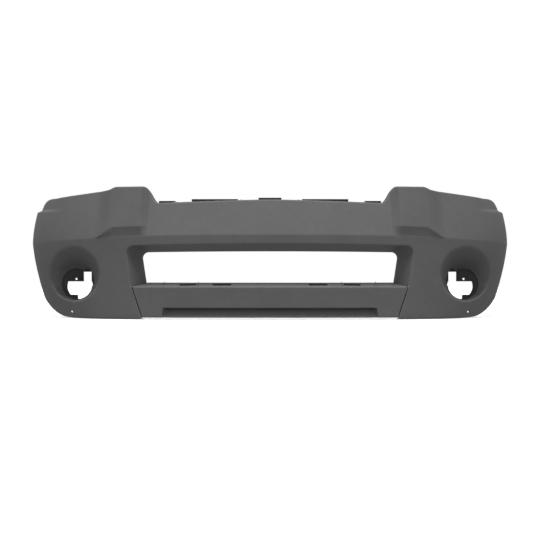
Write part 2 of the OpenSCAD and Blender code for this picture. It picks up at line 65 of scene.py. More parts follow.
def make_camera():
    data = bpy.data.cameras.new("camera")
    data.sensor_width = 36.0
    data.lens = data.sensor_width * CAMERA_DISTANCE / VIEW_WIDTH
    data.shift_y = HORIZON_SHIFT
    data.clip_end = 100.0
    camera = bpy.data.objects.new("camera", data)
    bpy.context.scene.collection.objects.link(camera)
    camera.location = (0.0, LOW[1] - CAMERA_DISTANCE, LOW[2] + CAMERA_HEIGHT)
    camera.rotation_euler = (math.radians(90), 0.0, 0.0)
    bpy.context.scene.camera = camera


make_camera()

# ---------- driving sizes of the skin, as in CAD ----------
WALL = 0.003
DEPTH = 0.560
PLAN_POWER = 3.2
CREASE_Z, CREASE_DROP = 0.308, 0.030
CENTER_TOP_Z = 0.437
FLANGE, LOWER_FLANGE = 0.025, 0.030
TOWER_TOP_Z, TOWER_FOOT_X, TOWER_IN_X, TOWER_OUT_X = 0.485, 0.446, 0.475, 0.581
TOWER_RELIEF, TOWER_GROWTH, TOWER_FADE, CHAMFER_H = 0.018, 0.09, 0.075, 0.036
CHAMFER_END, CHAMFER_RUN = 0.573, 0.055     # where a tower's sloping underside starts to narrow, over what width
ARCH_R, ARCH_Z, FLARE_Z = 0.440, 0.070, 0.403
LEAN, TUCK = math.radians(16), math.radians(3.5)
SIDE_UPPER, SIDE_LOWER = 0.90, 0.66     # curvature of the flare above and below the crease, per metre
SIDE_OVER, SIDE_UNDER = 0.05, 0.06      # its slope just above and just below the crease
WIDE_BEND = 1.3                         # curvature that the widest place is measured with
LEDGE = 0.012
RIM_TOP_X, RIM_FOOT_X, RIM_TOP_Z, RIM_FOOT_Z, RIM_R = 0.524, 0.506, 0.276, 0.119, 0.026
FUNNEL_D, FUNNEL_SIDE, FUNNEL_TOP, SHELF_RISE = 0.080, 0.057, 0.029, 0.015
SEAM_FOOT_X, SEAM_GAP = 0.467, 0.0035
VALANCE_Z, RECESS_X, RECESS_Z, RECESS_D = 0.006, 0.396, 0.043, 0.028
LAMP_X, LAMP_Z, TUNNEL_R, TUNNEL_D, LOBE_R = 0.728, 0.124, 0.057, 0.130, 0.034
LOBE = (-0.050, 0.028)
MOUTH_X, MOUTH_Z, MOUTH_RX, MOUTH_RZ = 0.729, 0.165, 0.103, 0.101
SMALL_HOLE = (0.738, 0.024, 0.003)
TURN_T, CORNER_T, FENDER_T = math.radians(56), math.radians(59.5), math.radians(77)

# Radii of the moulding's edges.
CREASE_R, TOP_R, BOTTOM_R, LIP_R, RIM_EDGE, SEAM_EDGE, MOUTH_EDGE = .0035, .0045, .007, .002, .003, .0015, .006


# ---------- arithmetic ----------
def mix(a, b, f):
    return a + (b - a) * f


def smooth(a, b, v):
    f = np.clip((v - a) / (b - a), 0, 1)
    return f * f * (3 - 2 * f)


def hinge(v, r):
    """max(v, 0) with its corner rounded over -r to r."""
    return np.where(v > r, v, np.where(v < -r, 0.0, (v + r) ** 2 / (4 * r)))


def soft_clamp(v, r=0.12):
    """v held between 0 and 1, with both corners rounded."""
    return hinge(v, r) - hinge(v - 1, r)


# ---------- plan curve ----------
ARCH_Y = DEPTH + math.sqrt(ARCH_R ** 2 - (0.4 - ARCH_Z) ** 2)


def arch_t(z):
    """Where the wheel arch cuts the plan curve at a height."""
    y = ARCH_Y - np.sqrt(ARCH_R ** 2 - (np.minimum(z, 0.4) - ARCH_Z) ** 2)
    return np.arccos(1 - np.minimum(DEPTH, y) / DEPTH)


WIDEST = 0.027          # how far above the crease the cover is widest
HALF_W = float((HIGH[0] + WIDE_BEND * WIDEST ** 2)
               / np.sin(arch_t(CREASE_Z - CREASE_DROP + WIDEST)) ** (2 / PLAN_POWER))


def plan_x(t):
    return HALF_W * np.sin(t) ** (2 / PLAN_POWER)


def plan_y(t):
    return DEPTH * (1 - np.cos(t))


def plan_t(x):
    return np.arcsin(np.minimum(np.abs(x) / HALF_W, 1) ** (PLAN_POWER / 2))


def plan_normal(t):
    t = np.maximum(t, math.radians(0.5))
    nx = DEPTH * np.sin(t)
    ny = -HALF_W * 2 / PLAN_POWER * np.sin(t) ** (2 / PLAN_POWER - 1) * np.cos(t)
    length = np.hypot(nx, ny)
    fade = smooth(math.radians(0.5), math.radians(3), t)
    return nx / length * fade, np.where(fade < 1, -np.sqrt(1 - (nx / length * fade) ** 2), ny / length)


T_TABLE = np.linspace(0, math.pi / 2, 4001)
S_TABLE = np.concatenate([[0], np.cumsum(np.hypot(np.diff(plan_x(T_TABLE)), np.diff(plan_y(T_TABLE))))])


def s_of_t(t):
    return np.interp(t, T_TABLE, S_TABLE)


def t_of_s(s):
    return np.interp(s, S_TABLE, T_TABLE)


# ---------- outlines of the skin ----------
def crease_at(x):
    return CREASE_Z - CREASE_DROP * (np.abs(x) / HALF_W) ** 2.8


def wing_top(x):
    return TOWER_TOP_Z - 0.011 - 0.107 * (x - TOWER_OUT_X - 0.023)


def front_top(x):
    x = np.abs(x)
    center = CENTER_TOP_Z - 0.012 * np.minimum(x / 0.4, 1) ** 1.3
    tower = mix(center, TOWER_TOP_Z, smooth(TOWER_FOOT_X - 0.031, TOWER_IN_X - 0.002, x))
    return mix(tower, wing_top(np.maximum(x, TOWER_OUT_X)), smooth(TOWER_OUT_X - 0.012, TOWER_OUT_X + 0.023, x))


def top_at(t):
    fall = np.clip((t - CORNER_T) / (FENDER_T - CORNER_T), 0, 1)
    corner = mix(FLARE_Z, wing_top(plan_x(CORNER_T)), np.sqrt(1 - fall ** 3.6))
    return np.where(t < CORNER_T, front_top(plan_x(t)), corner)


def bottom_at(t):
    return 0.066 * np.clip((np.degrees(t) - 25) / 65, 0, 1) ** 3.8


def leaned(t, z):
    """Behind TURN_T the columns lean more and more with the wheel arch."""
    return np.where(t <= TURN_T, t, mix(TURN_T, arch_t(z), (t - TURN_T) / (math.pi / 2 - TURN_T)))


BOTTOM_T = leaned(T_TABLE, bottom_at(T_TABLE))


def bottom_under(t):
    """Height of the lower edge at the leaned place t."""
    return np.interp(t, BOTTOM_T, bottom_at(T_TABLE))


# ---------- the skin ----------
def inset_at(t, z):
    x = plan_x(t)
    above = z - crease_at(x)
    front = math.tan(LEAN) * hinge(above, CREASE_R) + math.tan(TUCK) * hinge(-above, CREASE_R)
    side = np.where(above > 0, SIDE_UPPER, SIDE_LOWER) * above ** 2
    side = side + SIDE_OVER * hinge(above, CREASE_R) + SIDE_UNDER * hinge(-above, CREASE_R)
    tower = soft_clamp((x - TOWER_FOOT_X) / (TOWER_IN_X - TOWER_FOOT_X), 0.10)
    chamfer = CHAMFER_H * (1 - 0.9 * soft_clamp((x - CHAMFER_END) / CHAMFER_RUN, 0.05))
    tower = tower * soft_clamp((above - 0.002) / (chamfer - 0.002), 0.05)
    tower = tower * (1 - smooth(TOWER_OUT_X, TOWER_OUT_X + TOWER_FADE, x))
    out = tower * (TOWER_RELIEF + TOWER_GROWTH * (above - CHAMFER_H))
    ledge = LEDGE * smooth(50, 68, np.degrees(t)) * smooth(FLARE_Z - 0.005, FLARE_Z + 0.005, z)
    return mix(front, side, smooth(30, 68, np.degrees(t))) - out + ledge


def t_behind(x, z):
    """The plan parameter whose skin point is straight behind x at height z."""
    t = plan_t(x)
    for _ in range(12):
        t = plan_t(np.abs(x) + plan_normal(t)[0] * inset_at(t, z))
    return t


def placed(x, y, z):
    return np.stack([x, y + LOW[1], z + LOW[2]], axis=-1)


def on_skin(x, z, back=0.0):
    t = t_behind(x, z)
    y = plan_y(t) - plan_normal(t)[1] * inset_at(t, z) + back
    return placed(np.asarray(x, float), y, np.asarray(z, float))


def rolled(over, radius):
    """How far a sheet goes on, and how far inwards, when it has passed an edge's start by over."""
    turn = np.clip(over / radius, 0, math.pi / 2)
    return radius * np.sin(turn), radius * (1 - np.cos(turn)) + np.maximum(over - radius * math.pi / 2, 0)


def bent(s, q):
    """The place of the sheet's point (s, q): the skin, and beyond its edges the flanges."""
    end = s_of_t(arch_t(q))
    t = t_of_s(np.minimum(s, end))
    top, bottom = top_at(t), bottom_under(t)
    up, in_top = rolled(np.maximum(q - (top - TOP_R), 0), TOP_R)
    down, in_bottom = rolled(np.maximum(bottom + BOTTOM_R - q, 0), BOTTOM_R)
    low = np.where(q < bottom + BOTTOM_R, bottom + BOTTOM_R - down, q)
    z = np.where(q > top - TOP_R, top - TOP_R + up, low)
    back, in_lip = rolled(np.maximum(s - end, 0), LIP_R)
    nx, ny = plan_normal(t)
    inset = inset_at(t, z) + in_top + in_bottom + in_lip
    return placed(plan_x(t) - nx * inset, plan_y(t) - ny * inset + back, z)


# ---------- outlines in the front view ----------
def rim_points(grow, end_grow):
    """Half of the grille opening's rim, from the centre to its foot, as x and z."""
    top_x, top_z, sag = RIM_TOP_X, RIM_TOP_Z, 0.007
    flat = np.linspace(0, top_x - RIM_R, 70)
    turn = np.linspace(math.pi / 2, 0, 16)[1:]
    side = np.linspace(0, 1, 26)[1:]
    x = np.concatenate([flat, top_x - RIM_R + (RIM_R + grow) * np.cos(turn),
                        mix(top_x + grow, RIM_FOOT_X + end_grow, side)])
    z = np.concatenate([top_z + grow - sag * (flat / flat[-1]) ** 2,
                        top_z - sag - RIM_R + (RIM_R + grow) * np.sin(turn),
                        mix(top_z - sag - RIM_R, RIM_FOOT_Z, side)])
    return x, z


def throat_points(grow):
    """The same number of points on the opening's back edge."""
    radius = RIM_R - 0.004
    top_x, top_z, sag = RIM_TOP_X - FUNNEL_SIDE, RIM_TOP_Z - FUNNEL_TOP, 0.003
    flat = np.linspace(0, top_x - radius, 70)
    turn = np.linspace(math.pi / 2, 0, 16)[1:]
    side = np.linspace(0, 1, 26)[1:]
    x = np.concatenate([flat, top_x - radius + (radius + grow) * np.cos(turn),
                        mix(top_x, RIM_FOOT_X - FUNNEL_SIDE + 0.005, side) + grow])
    z = np.concatenate([top_z + grow - sag * (flat / flat[-1]) ** 2,
                        top_z - sag - radius + (radius + grow) * np.sin(turn),
                        mix(top_z - sag - radius, RIM_FOOT_Z + SHELF_RISE, side)])
    return x, z


def seam_at(z):
    return mix(SEAM_FOOT_X, RIM_FOOT_X, z / RIM_FOOT_Z)


def mouth_points(grow, count=120):
    a = np.linspace(0, 2 * math.pi, count, endpoint=False)
    return MOUTH_X + (MOUTH_RX + grow) * np.cos(a), MOUTH_Z + (MOUTH_RZ + grow) * np.sin(a)


def to_sheet(x, z):
    return np.stack([s_of_t(t_behind(x, z)), z], axis=-1)


# ---------- sheets of triangles ----------
def inside(points, loop):
    """Which points lie inside a closed loop, by counting crossings."""
    x, y = points[:, 0][:, None], points[:, 1][:, None]
    x0, y0 = loop[:, 0][None], loop[:, 1][None]
    x1, y1 = np.roll(loop[:, 0], -1)[None], np.roll(loop[:, 1], -1)[None]
    step = np.where(y1 == y0, 1e-12, y1 - y0)
    crossed = ((y0 > y) != (y1 > y)) & (x < (x1 - x0) * (y - y0) / step + x0)
    return crossed.sum(axis=1) % 2 == 1


def far_from(points, line, gap, closed=False):
    """Which points lie further than gap from every stretch of a line."""
    a = line if closed else line[:-1]
    b = np.roll(line, -1, axis=0) if closed else line[1:]
    keep = np.ones(len(points), bool)
    for p, d in zip(a, b - a):
        rel = points - p
        f = np.clip(rel @ d / max(d @ d, 1e-18), 0, 1)
        keep &= np.hypot(*(rel - f[:, None] * d).T) > gap
    return keep


def triangulated(outline, holes, points):
    """Triangles that fill an outline with holes, using the inner points too."""
    loops = [outline] + holes
    edges = []
    start = 0
    for loop in loops:
        n = len(loop)
        edges += [(start + i, start + (i + 1) % n) for i in range(n)]
        start += n
    everything = np.concatenate(loops + [points])
    found = delaunay_2d_cdt([Vector(p) for p in everything], edges, [], 0, 1e-7)
    flat = np.array([tuple(v) for v in found[0]])
    faces = np.array([f for f in found[2] if len(f) == 3])
    middle = flat[faces].mean(axis=1)
    keep = inside(middle, outline)
    for hole in holes:
        keep &= ~inside(middle, hole)
    return flat, faces[keep]


def strip_faces(rows, closed=False):
    """Vertices and quads between rows of points that follow each other."""
    n = len(rows[0])
    last = n if closed else n - 1
    faces = [(j * n + i, j * n + (i + 1) % n, (j + 1) * n + (i + 1) % n, (j + 1) * n + i)
             for j in range(len(rows) - 1) for i in range(last)]
    return np.concatenate(rows), faces


def arc_rows(p0, p1, p2, steps, first=False):
    """Rows that round the corner p1 between p0 and p2."""
    us = [i / steps for i in range(0 if first else 1, steps + 1)]
    return [(1 - u) ** 2 * p0 + 2 * u * (1 - u) * p1 + u * u * p2 for u in us]


def toward(a, b, length):
    d = b - a
    return a + d / np.linalg.norm(d, axis=1)[:, None] * length


def mesh_object(name, patches, tolerance=2e-5):
    """One object from patches of (points, faces), with touching points joined and its front facing out."""
    mesh = bpy.data.meshes.new(name)
    points, faces, start = [], [], 0
    for p, f in patches:
        points.append(p)
        faces += [tuple(int(i) + start for i in face) for face in f]
        start += len(p)
    mesh.from_pydata(np.concatenate(points).tolist(), [], faces)
    bm = bmesh.new()
    bm.from_mesh(mesh)
    bmesh.ops.remove_doubles(bm, verts=bm.verts, dist=tolerance)
    bmesh.ops.dissolve_degenerate(bm, edges=bm.edges, dist=1e-7)
    bmesh.ops.recalc_face_normals(bm, faces=bm.faces)
    bm.to_mesh(mesh)
    bm.free()
    made = bpy.data.objects.new(name, mesh)
    bpy.context.scene.collection.objects.link(made)
    return made


def both_sides(patches):
    """The patches and their mirror images."""
    flip = np.array([-1, 1, 1])
    return patches + [(p * flip, [tuple(reversed([int(i) for i in face])) for face in f]) for p, f in patches]


def flip_if(made, test):
    """Turns an object's faces over when the face that passes the test first faces the wrong way."""
    for polygon in made.data.polygons:
        wrong = test(polygon.center, polygon.normal)
        if wrong is not None:
            if wrong:
                made.data.flip_normals()
            return


def baked(made):
    """Applies an object's modifiers to its mesh."""
    depsgraph = bpy.context.evaluated_depsgraph_get()
    mesh = bpy.data.meshes.new_from_object(made.evaluated_get(depsgraph))
    old = made.data
    made.modifiers.clear()
    made.data = mesh
    bpy.data.meshes.remove(old)
    return made


def thickened(made, thickness=WALL):
    modifier = made.modifiers.new("wall", "SOLIDIFY")
    modifier.thickness = thickness
    modifier.offset = -1.0
    modifier.use_even_offset = True
    modifier.thickness_clamp = 1.0
    return baked(made)


def cut(made, *cutters):
    """Cuts other objects out of this one and removes them."""
    for cutter in cutters:
        modifier = made.modifiers.new("cut", "BOOLEAN")
        modifier.operation = "DIFFERENCE"
        modifier.object = cutter
        modifier.solver = "EXACT"
    baked(made)
    for cutter in cutters:
        bpy.data.objects.remove(cutter)
    return made


def rounded(made, width, segments=2, angle=35):
    modifier = made.modifiers.new("edges", "BEVEL")
    modifier.width = width
    modifier.segments = segments
    modifier.limit_method = "ANGLE"
    modifier.angle_limit = math.radians(angle)
    modifier.harden_normals = False
    return baked(made)


def shaded(made, angle=38):
    """Smooth shading, broken where faces meet at more than the angle."""
    mesh = made.data
    mesh.polygons.foreach_set("use_smooth", [True] * len(mesh.polygons))
    mesh.set_sharp_from_angle(angle=math.radians(angle))
    mesh.update()
    return made


def joined(name, pieces):
    """One object from several."""
    bm = bmesh.new()
    for piece in pieces:
        bm.from_mesh(piece.data)
    mesh = bpy.data.meshes.new(name)
    bm.to_mesh(mesh)
    bm.free()
    made = bpy.data.objects.new(name, mesh)
    bpy.context.scene.collection.objects.link(made)
    for piece in pieces:
        bpy.data.objects.remove(piece)
    return made


# ---------- the cover ----------
def cover_columns():
    """Columns of the sheet, finer where the towers turn."""
    stretches = ((0, 0.395, 0.010), (0.396, 0.436, 0.004), (0.436, 0.486, 0.002), (0.488, 0.566, 0.006),
                 (0.568, 0.664, 0.004))
    xs = np.concatenate([np.arange(*stretch) for stretch in stretches])
    s = s_of_t(plan_t(xs))
    return t_of_s(np.concatenate([s, np.arange(s[-1] + 0.008, S_TABLE[-1] - 0.004, 0.009), [S_TABLE[-1]]]))


def cover_rows(t):
    """The sheet's rows at the columns t, from the lower flange's edge to the upper one's."""
    bottom, top, crease = bottom_at(t), top_at(t), crease_at(plan_x(t))
    flange = mix(LOWER_FLANGE, 0.010, smooth(74, 88, np.degrees(t)))
    turn = math.pi / 2
    low = bottom + BOTTOM_R - BOTTOM_R * turn
    high = top - TOP_R + TOP_R * turn
    return np.concatenate([
        np.linspace(low - (flange - BOTTOM_R), low, 4)[:-1],
        np.linspace(low, bottom + BOTTOM_R, 7)[:-1],
        np.linspace(bottom + BOTTOM_R, crease - 0.012, 22),
        crease + np.array([-8, -5.5, -3.5, -1.5, 0, 1.5, 3.5, 5.5, 8, 12, 17, 22, 27, 31, 34, 36, 38, 41,
                           45])[:, None] / 1000,
        np.linspace(crease + 0.049, top - TOP_R - 0.002, 30),
        np.linspace(top - TOP_R, high, 6),
        np.linspace(high, high + FLANGE - TOP_R, 4)[1:]])


LIP = (0.001, 0.002, 0.0031, 0.010, 0.017, 0.0245)    # how far each row of the wheel-arch lip is past its edge


def cover_sheet():
    """The outer skin of the cover's left half, with its mouth and its window left open."""
    t = cover_columns()
    q = cover_rows(t)
    s = s_of_t(leaned(t, np.clip(q, bottom_at(t), top_at(t))))
    grid = np.stack([s, q], axis=-1)
    rim = to_sheet(*rim_points(RIM_EDGE, SEAM_EDGE))
    seam_z = np.linspace(RIM_FOOT_Z, BOTTOM_R, 30)[1:]
    seam = to_sheet(seam_at(seam_z) + SEAM_EDGE, seam_z)
    foot = np.stack([np.full(8, seam[-1][0]), np.linspace(BOTTOM_R, q[0, 0], 9)[1:]], axis=-1)
    first = grid[:, 0][grid[:, 0, 1] > rim[0][1] + 0.004][::-1]
    under = grid[0][grid[0, :, 0] > foot[-1][0] + 0.005]
    last = grid[:, -1]
    low = int(np.argmax(last[:, 1] >= bottom_at(t[-1]) + BOTTOM_R - 1e-9))
    high = len(last) - 9
    lip = np.stack([last[low:high + 1] + [d, 0] for d in LIP])
    outline = np.concatenate([first, rim, seam, foot, under[:-1], last[:low + 1], lip[:-1, 0], lip[-1],
                              lip[:-1, -1][::-1], last[high:], grid[-1, 1:-1][::-1]])
    mouth = to_sheet(*mouth_points(MOUTH_EDGE))
    a = np.linspace(0, 2 * math.pi, 20, endpoint=False)
    small = to_sheet(SMALL_HOLE[0] + SMALL_HOLE[2] * np.cos(a), SMALL_HOLE[1] + SMALL_HOLE[2] * np.sin(a))
    points = np.concatenate([grid[1:-1, 1:-1].reshape(-1, 2), last[low + 1:high],
                             lip[:-1, 1:-1].reshape(-1, 2)])
    edge = np.concatenate([rim, seam, foot])
    near = (far_from(points, edge, 0.0025) & far_from(points, mouth, 0.003, True)
            & far_from(points, small, 0.002, True))
    keep = near & inside(points, outline) & ~inside(points, mouth) & ~inside(points, small)
    flat, faces = triangulated(outline, [mouth, small], points[keep])
    return (bent(flat[:, 0], flat[:, 1]), faces), bent(*rim.T), bent(*seam.T), bent(*mouth.T)


def window_walls(edge):
    """The rounded rim of the grille opening, its tapering walls and the flange behind them."""
    corner = on_skin(*rim_points(0, 0))
    x, z = throat_points(0)
    back = np.stack([x, corner[:, 1] + FUNNEL_D, z + LOW[2]], axis=-1)
    x, z = throat_points(0.014)
    flange = np.stack([x, back[:, 1], z + LOW[2]], axis=-1)
    start, stop = toward(corner, back, RIM_EDGE), toward(back, corner, 0.003)
    rows = [edge] + arc_rows(edge, corner, start, 4)
    rows += [mix(start, stop, f) for f in np.linspace(0, 1, 9)[1:]]
    rows += arc_rows(stop, back, toward(back, flange, 0.003), 3) + [flange]
    wide = []
    for row in rows:
        foot = row[-1]
        grown = float(smooth(0.006, 0.020, foot[1] - edge[-1][1]))
        steps = ((0, -0.003), (-0.0005, -0.0048), (-0.002, -0.0055), (-0.014, -0.0055))
        under = [foot + [dx * grown, 0, dz * grown] for dx, dz in steps]
        wide.append(np.concatenate([row, under]))
    return strip_faces(wide)


def seam_return(edge):
    """The cover's edge at the seam, turned back into the gap."""
    corner = edge - [SEAM_EDGE, 0, 0]
    start = corner + [0, SEAM_EDGE, 0]
    return strip_faces([edge] + arc_rows(edge, corner, start, 3) + [start + [0, d, 0] for d in (0.006, 0.012)])


LAMP_Y = float(on_skin(LAMP_X, LAMP_Z)[1]) + TUNNEL_D
LAMP = np.array([LAMP_X, LAMP_Y, LAMP_Z + LOW[2]])
TUNNEL_STEP = 0.0022
EAR_R, BOSS_AT, BOSS_ANGLES = TUNNEL_R + 0.020, TUNNEL_R + 0.012, (65, 220, 320)


def lamp_circle(radius, count=120):
    a = np.linspace(0, 2 * math.pi, count, endpoint=False)
    return LAMP + np.stack([radius * np.cos(a), 0 * a, radius * np.sin(a)], axis=-1)


def mouth_roll(edge):
    """The rounded rim of a lamp's mouth."""
    corner = on_skin(*mouth_points(0))
    start = toward(corner, lamp_circle(TUNNEL_R), MOUTH_EDGE)
    return strip_faces([edge] + arc_rows(edge, corner, start, 7), True), start


def revolved(profile, count=40):
    """Rows of a closed profile, given as radius and depth, turned about the y axis."""
    a = np.linspace(0, 2 * math.pi, count, endpoint=False)
    rows = [np.stack([r * np.cos(a), 0 * a + y, r * np.sin(a)], axis=-1) for r, y in profile]
    return strip_faces(rows + [rows[0]], True)


def tunnel(name, start):
    """A lamp's tunnel, with a step near its end, the ring behind it and the bosses on that ring."""
    end = lamp_circle(TUNNEL_R)
    middle = LAMP * [1, 0, 1]
    rows = []
    for f in np.concatenate([np.linspace(0, 0.80, 13), [0.83, 0.845, 0.86, 0.875, 0.89], [0.93, 0.965]]):
        row = mix(start, end, f)
        inward = row * [1, 0, 1] - middle
        inward /= np.linalg.norm(inward, axis=1)[:, None]
        rows.append(row - inward * TUNNEL_STEP * float(smooth(0.83, 0.89, f))
                    + inward * TUNNEL_STEP * float(smooth(0.93, 1, f)))
    near = toward(end, start, 0.003)
    rows += arc_rows(near, end, toward(end, lamp_circle(EAR_R), 0.003), 3, True)
    rows += [lamp_circle(mix(TUNNEL_R + 0.004, EAR_R, f)) for f in (0.3, 0.65, 1)]
    made = mesh_object(name, [strip_faces(rows, True)])
    flip_if(made, lambda c, n: (n.x * (c.x - LAMP[0]) + n.z * (c.z - LAMP[2]) > 0)
            if c.y < LAMP_Y - 0.02 else None)
    thickened(made)
    lobe = cylinder("lobe", LOBE_R, 0.09, LAMP + [LOBE[0], -0.015, LOBE[1]], 64)
    cut(made, lobe)
    bosses = []
    profile = [(0.0022, -0.012), (0.0055, -0.014), (0.006, -0.0132), (0.006, -0.001), (0.0022, -0.001)]
    for angle in BOSS_ANGLES:
        a = math.radians(angle)
        place = LAMP + np.array([BOSS_AT * math.cos(a), 0, BOSS_AT * math.sin(a)])
        points, faces = revolved(profile, 32)
        bosses.append(mesh_object("boss", [(points + place, faces)]))
    return joined(name, [made] + bosses)


def cylinder(name, radius, length, middle, count=48, axis=(0, 1, 0)):
    """A closed cylinder along an axis."""
    bm = bmesh.new()
    bmesh.ops.create_cone(bm, cap_ends=True, segments=count, radius1=radius, radius2=radius, depth=length)
    turn = Vector((0, 0, 1)).rotation_difference(Vector(axis)).to_matrix().to_4x4()
    bmesh.ops.transform(bm, matrix=turn, verts=bm.verts)
    bmesh.ops.translate(bm, vec=Vector(middle), verts=bm.verts)
    mesh = bpy.data.meshes.new(name)
    bm.to_mesh(mesh)
    bm.free()
    made = bpy.data.objects.new(name, mesh)
    bpy.context.scene.collection.objects.link(made)
    return made


def box_object(name, low, high):
    x0, y0, z0 = low
    x1, y1, z1 = high
    points = np.array([[x, y, z] for x in (x0, x1) for y in (y0, y1) for z in (z0, z1)])
    faces = [(0, 1, 3, 2), (4, 6, 7, 5), (0, 4, 5, 1), (2, 3, 7, 6), (0, 2, 6, 4), (1, 5, 7, 3)]
    return mesh_object(name, [(points, faces)])


def mirrored_copy(made, name):
    """The object's mirror image about the middle of the vehicle."""
    mesh = made.data.copy()
    points = np.empty(len(mesh.vertices) * 3)
    mesh.vertices.foreach_get("co", points)
    points = points.reshape(-1, 3) * [-1, 1, 1]
    mesh.vertices.foreach_set("co", points.ravel())
    mesh.flip_normals()
    copy = bpy.data.objects.new(name, mesh)
    bpy.context.scene.collection.objects.link(copy)
    return copy


def turned(made, x_angle, y_angle, place):
    """Turns a mesh about y, then about x, and moves it to its place."""
    made.data.transform(Matrix.Translation(Vector(place)) @ Matrix.Rotation(x_angle, 4, "X")
                        @ Matrix.Rotation(y_angle, 4, "Y"))
    return made


SEAM_ANGLE = math.atan2(RIM_FOOT_X - SEAM_FOOT_X, RIM_FOOT_Z)
SEAM_MIDDLE = on_skin((RIM_FOOT_X + SEAM_FOOT_X) / 2, RIM_FOOT_Z / 2)
EAR_GAP, EAR_D, RIVET_PITCH, RIVET_Y, RIVET_R = 0.0015, 0.034, 0.032, 0.020, 0.004


def seam_ear(name, x, y):
    """An ear behind the seam, with its three rivet holes."""
    length = 2 * RIVET_PITCH + 0.024
    ear = box_object(name, (x, y, -length / 2), (x + WALL, EAR_D, length / 2))
    holes = [cylinder("hole", RIVET_R + 0.0002, 0.03, (x, RIVET_Y, z), 40, (1, 0, 0))
             for z in (-RIVET_PITCH, 0, RIVET_PITCH)]
    rounded(cut(ear, *holes), 0.0005, 1)
    return turned(ear, TUCK, SEAM_ANGLE, SEAM_MIDDLE)


TONGUE_GAP, TONGUE_OVER = 0.0008, 0.016


def seam_tongue(name):
    """The plate behind the valance's ear that closes the view through the seam."""
    half = RIVET_PITCH + 0.012
    near = SEAM_GAP / 2 + EAR_GAP
    neck = box_object(name, (near, EAR_D - 0.001, -half), (near + WALL, EAR_D + TONGUE_GAP + 0.002, half))
    plate = box_object(name, (-near - WALL, EAR_D + TONGUE_GAP, -half - TONGUE_OVER),
                       (near + WALL - 0.0005, EAR_D + TONGUE_GAP + WALL, half + TONGUE_OVER))
    return turned(joined(name, [neck, rounded(plate, 0.0005, 1)]), TUCK, SEAM_ANGLE, SEAM_MIDDLE)


def make_cover():
    sheet, rim, seam, mouth = cover_sheet()
    roll, start = mouth_roll(mouth)
    skin = mesh_object("skin", both_sides([sheet, window_walls(rim), seam_return(seam), roll]))
    flip_if(skin, lambda c, n: n.y > 0 if abs(c.x) < 0.1 and 0.33 < c.z - LOW[2] < 0.40 else None)
    thickened(skin)
    left = tunnel("tunnel", start)
    ear = seam_ear("ear", SEAM_GAP / 2 + EAR_GAP, 0.0025)
    tongue = seam_tongue("tongue")
    pieces = [skin, left, ear, tongue]
    pieces += [mirrored_copy(piece, "mirrored") for piece in (left, ear, tongue)]
    return shaded(joined("cover_moulding", pieces), 40)


# ---------- the center valance ----------
def seam_edge(z):
    return seam_at(z) - SEAM_GAP


def valance_rows():
    """Rows of the face: height, how deep the recess is there, and which part of the sheet it is."""
    bottom, top, deep = VALANCE_Z, RECESS_Z, RECESS_D
    flat = [(bottom, 0.3 * deep, b, 0) for b in (0.022, 0.016, 0.010)]
    roll = [(bottom + 0.004 * (1 - math.cos(a)), 0.3 * deep, 0.004 * (1 - math.sin(a)), 0)
            for a in np.linspace(0, math.pi / 2, 6)]
    ramp = [(z, mix(0.3 * deep, deep, (z - bottom) / (top - bottom)), 0, 0)
            for z in np.linspace(bottom + 0.006, top - 0.006, 10)]
    ramp += [(top - 0.0045 + 0.003 * math.sin(a), deep - 0.003 * (1 - math.cos(a)), 0, 0)
             for a in np.linspace(0, math.pi / 2, 5)]
    ceiling = [(top - 0.0012, d * deep, 0, 0) for d in (0.75, 0.5, 0.25, 0.09)]
    ceiling += [(top - 0.0010 + 0.0022 * (1 - math.cos(a)), 0.0022 * (1 - math.sin(a)), 0, 0)
                for a in np.linspace(0, math.pi / 2, 5)]
    face = [(z, 0, 0, 0) for z in np.linspace(top + 0.004, RIM_FOOT_Z - 0.004, 12)]
    return flat + roll + ramp + ceiling + face


def valance_columns(z):
    """The x of every column at the heights z, from the middle to the seam, and its share of the recess."""
    lift = np.clip(z / RECESS_Z, 0, 1)
    edge = RECESS_X - 0.005 * z / RECESS_Z
    deep = edge - 0.002 - 0.014 * lift
    across = [(k, 1.0) for k in np.linspace(0, 0.985, 50)]
    xs = [(deep * k, np.full_like(z, share)) for k, share in across]
    for w in (0, 0.04, 0.1, 0.3, 0.5, 0.7, 0.9, 0.96, 1, 1.08):
        xs.append((mix(deep, edge, w), np.full_like(z, float(1 - soft_clamp(w, 0.08)))))
    for w in np.linspace(0.06, 1, 12):
        xs.append((mix(edge, seam_edge(z), w), np.zeros_like(z)))
    return xs


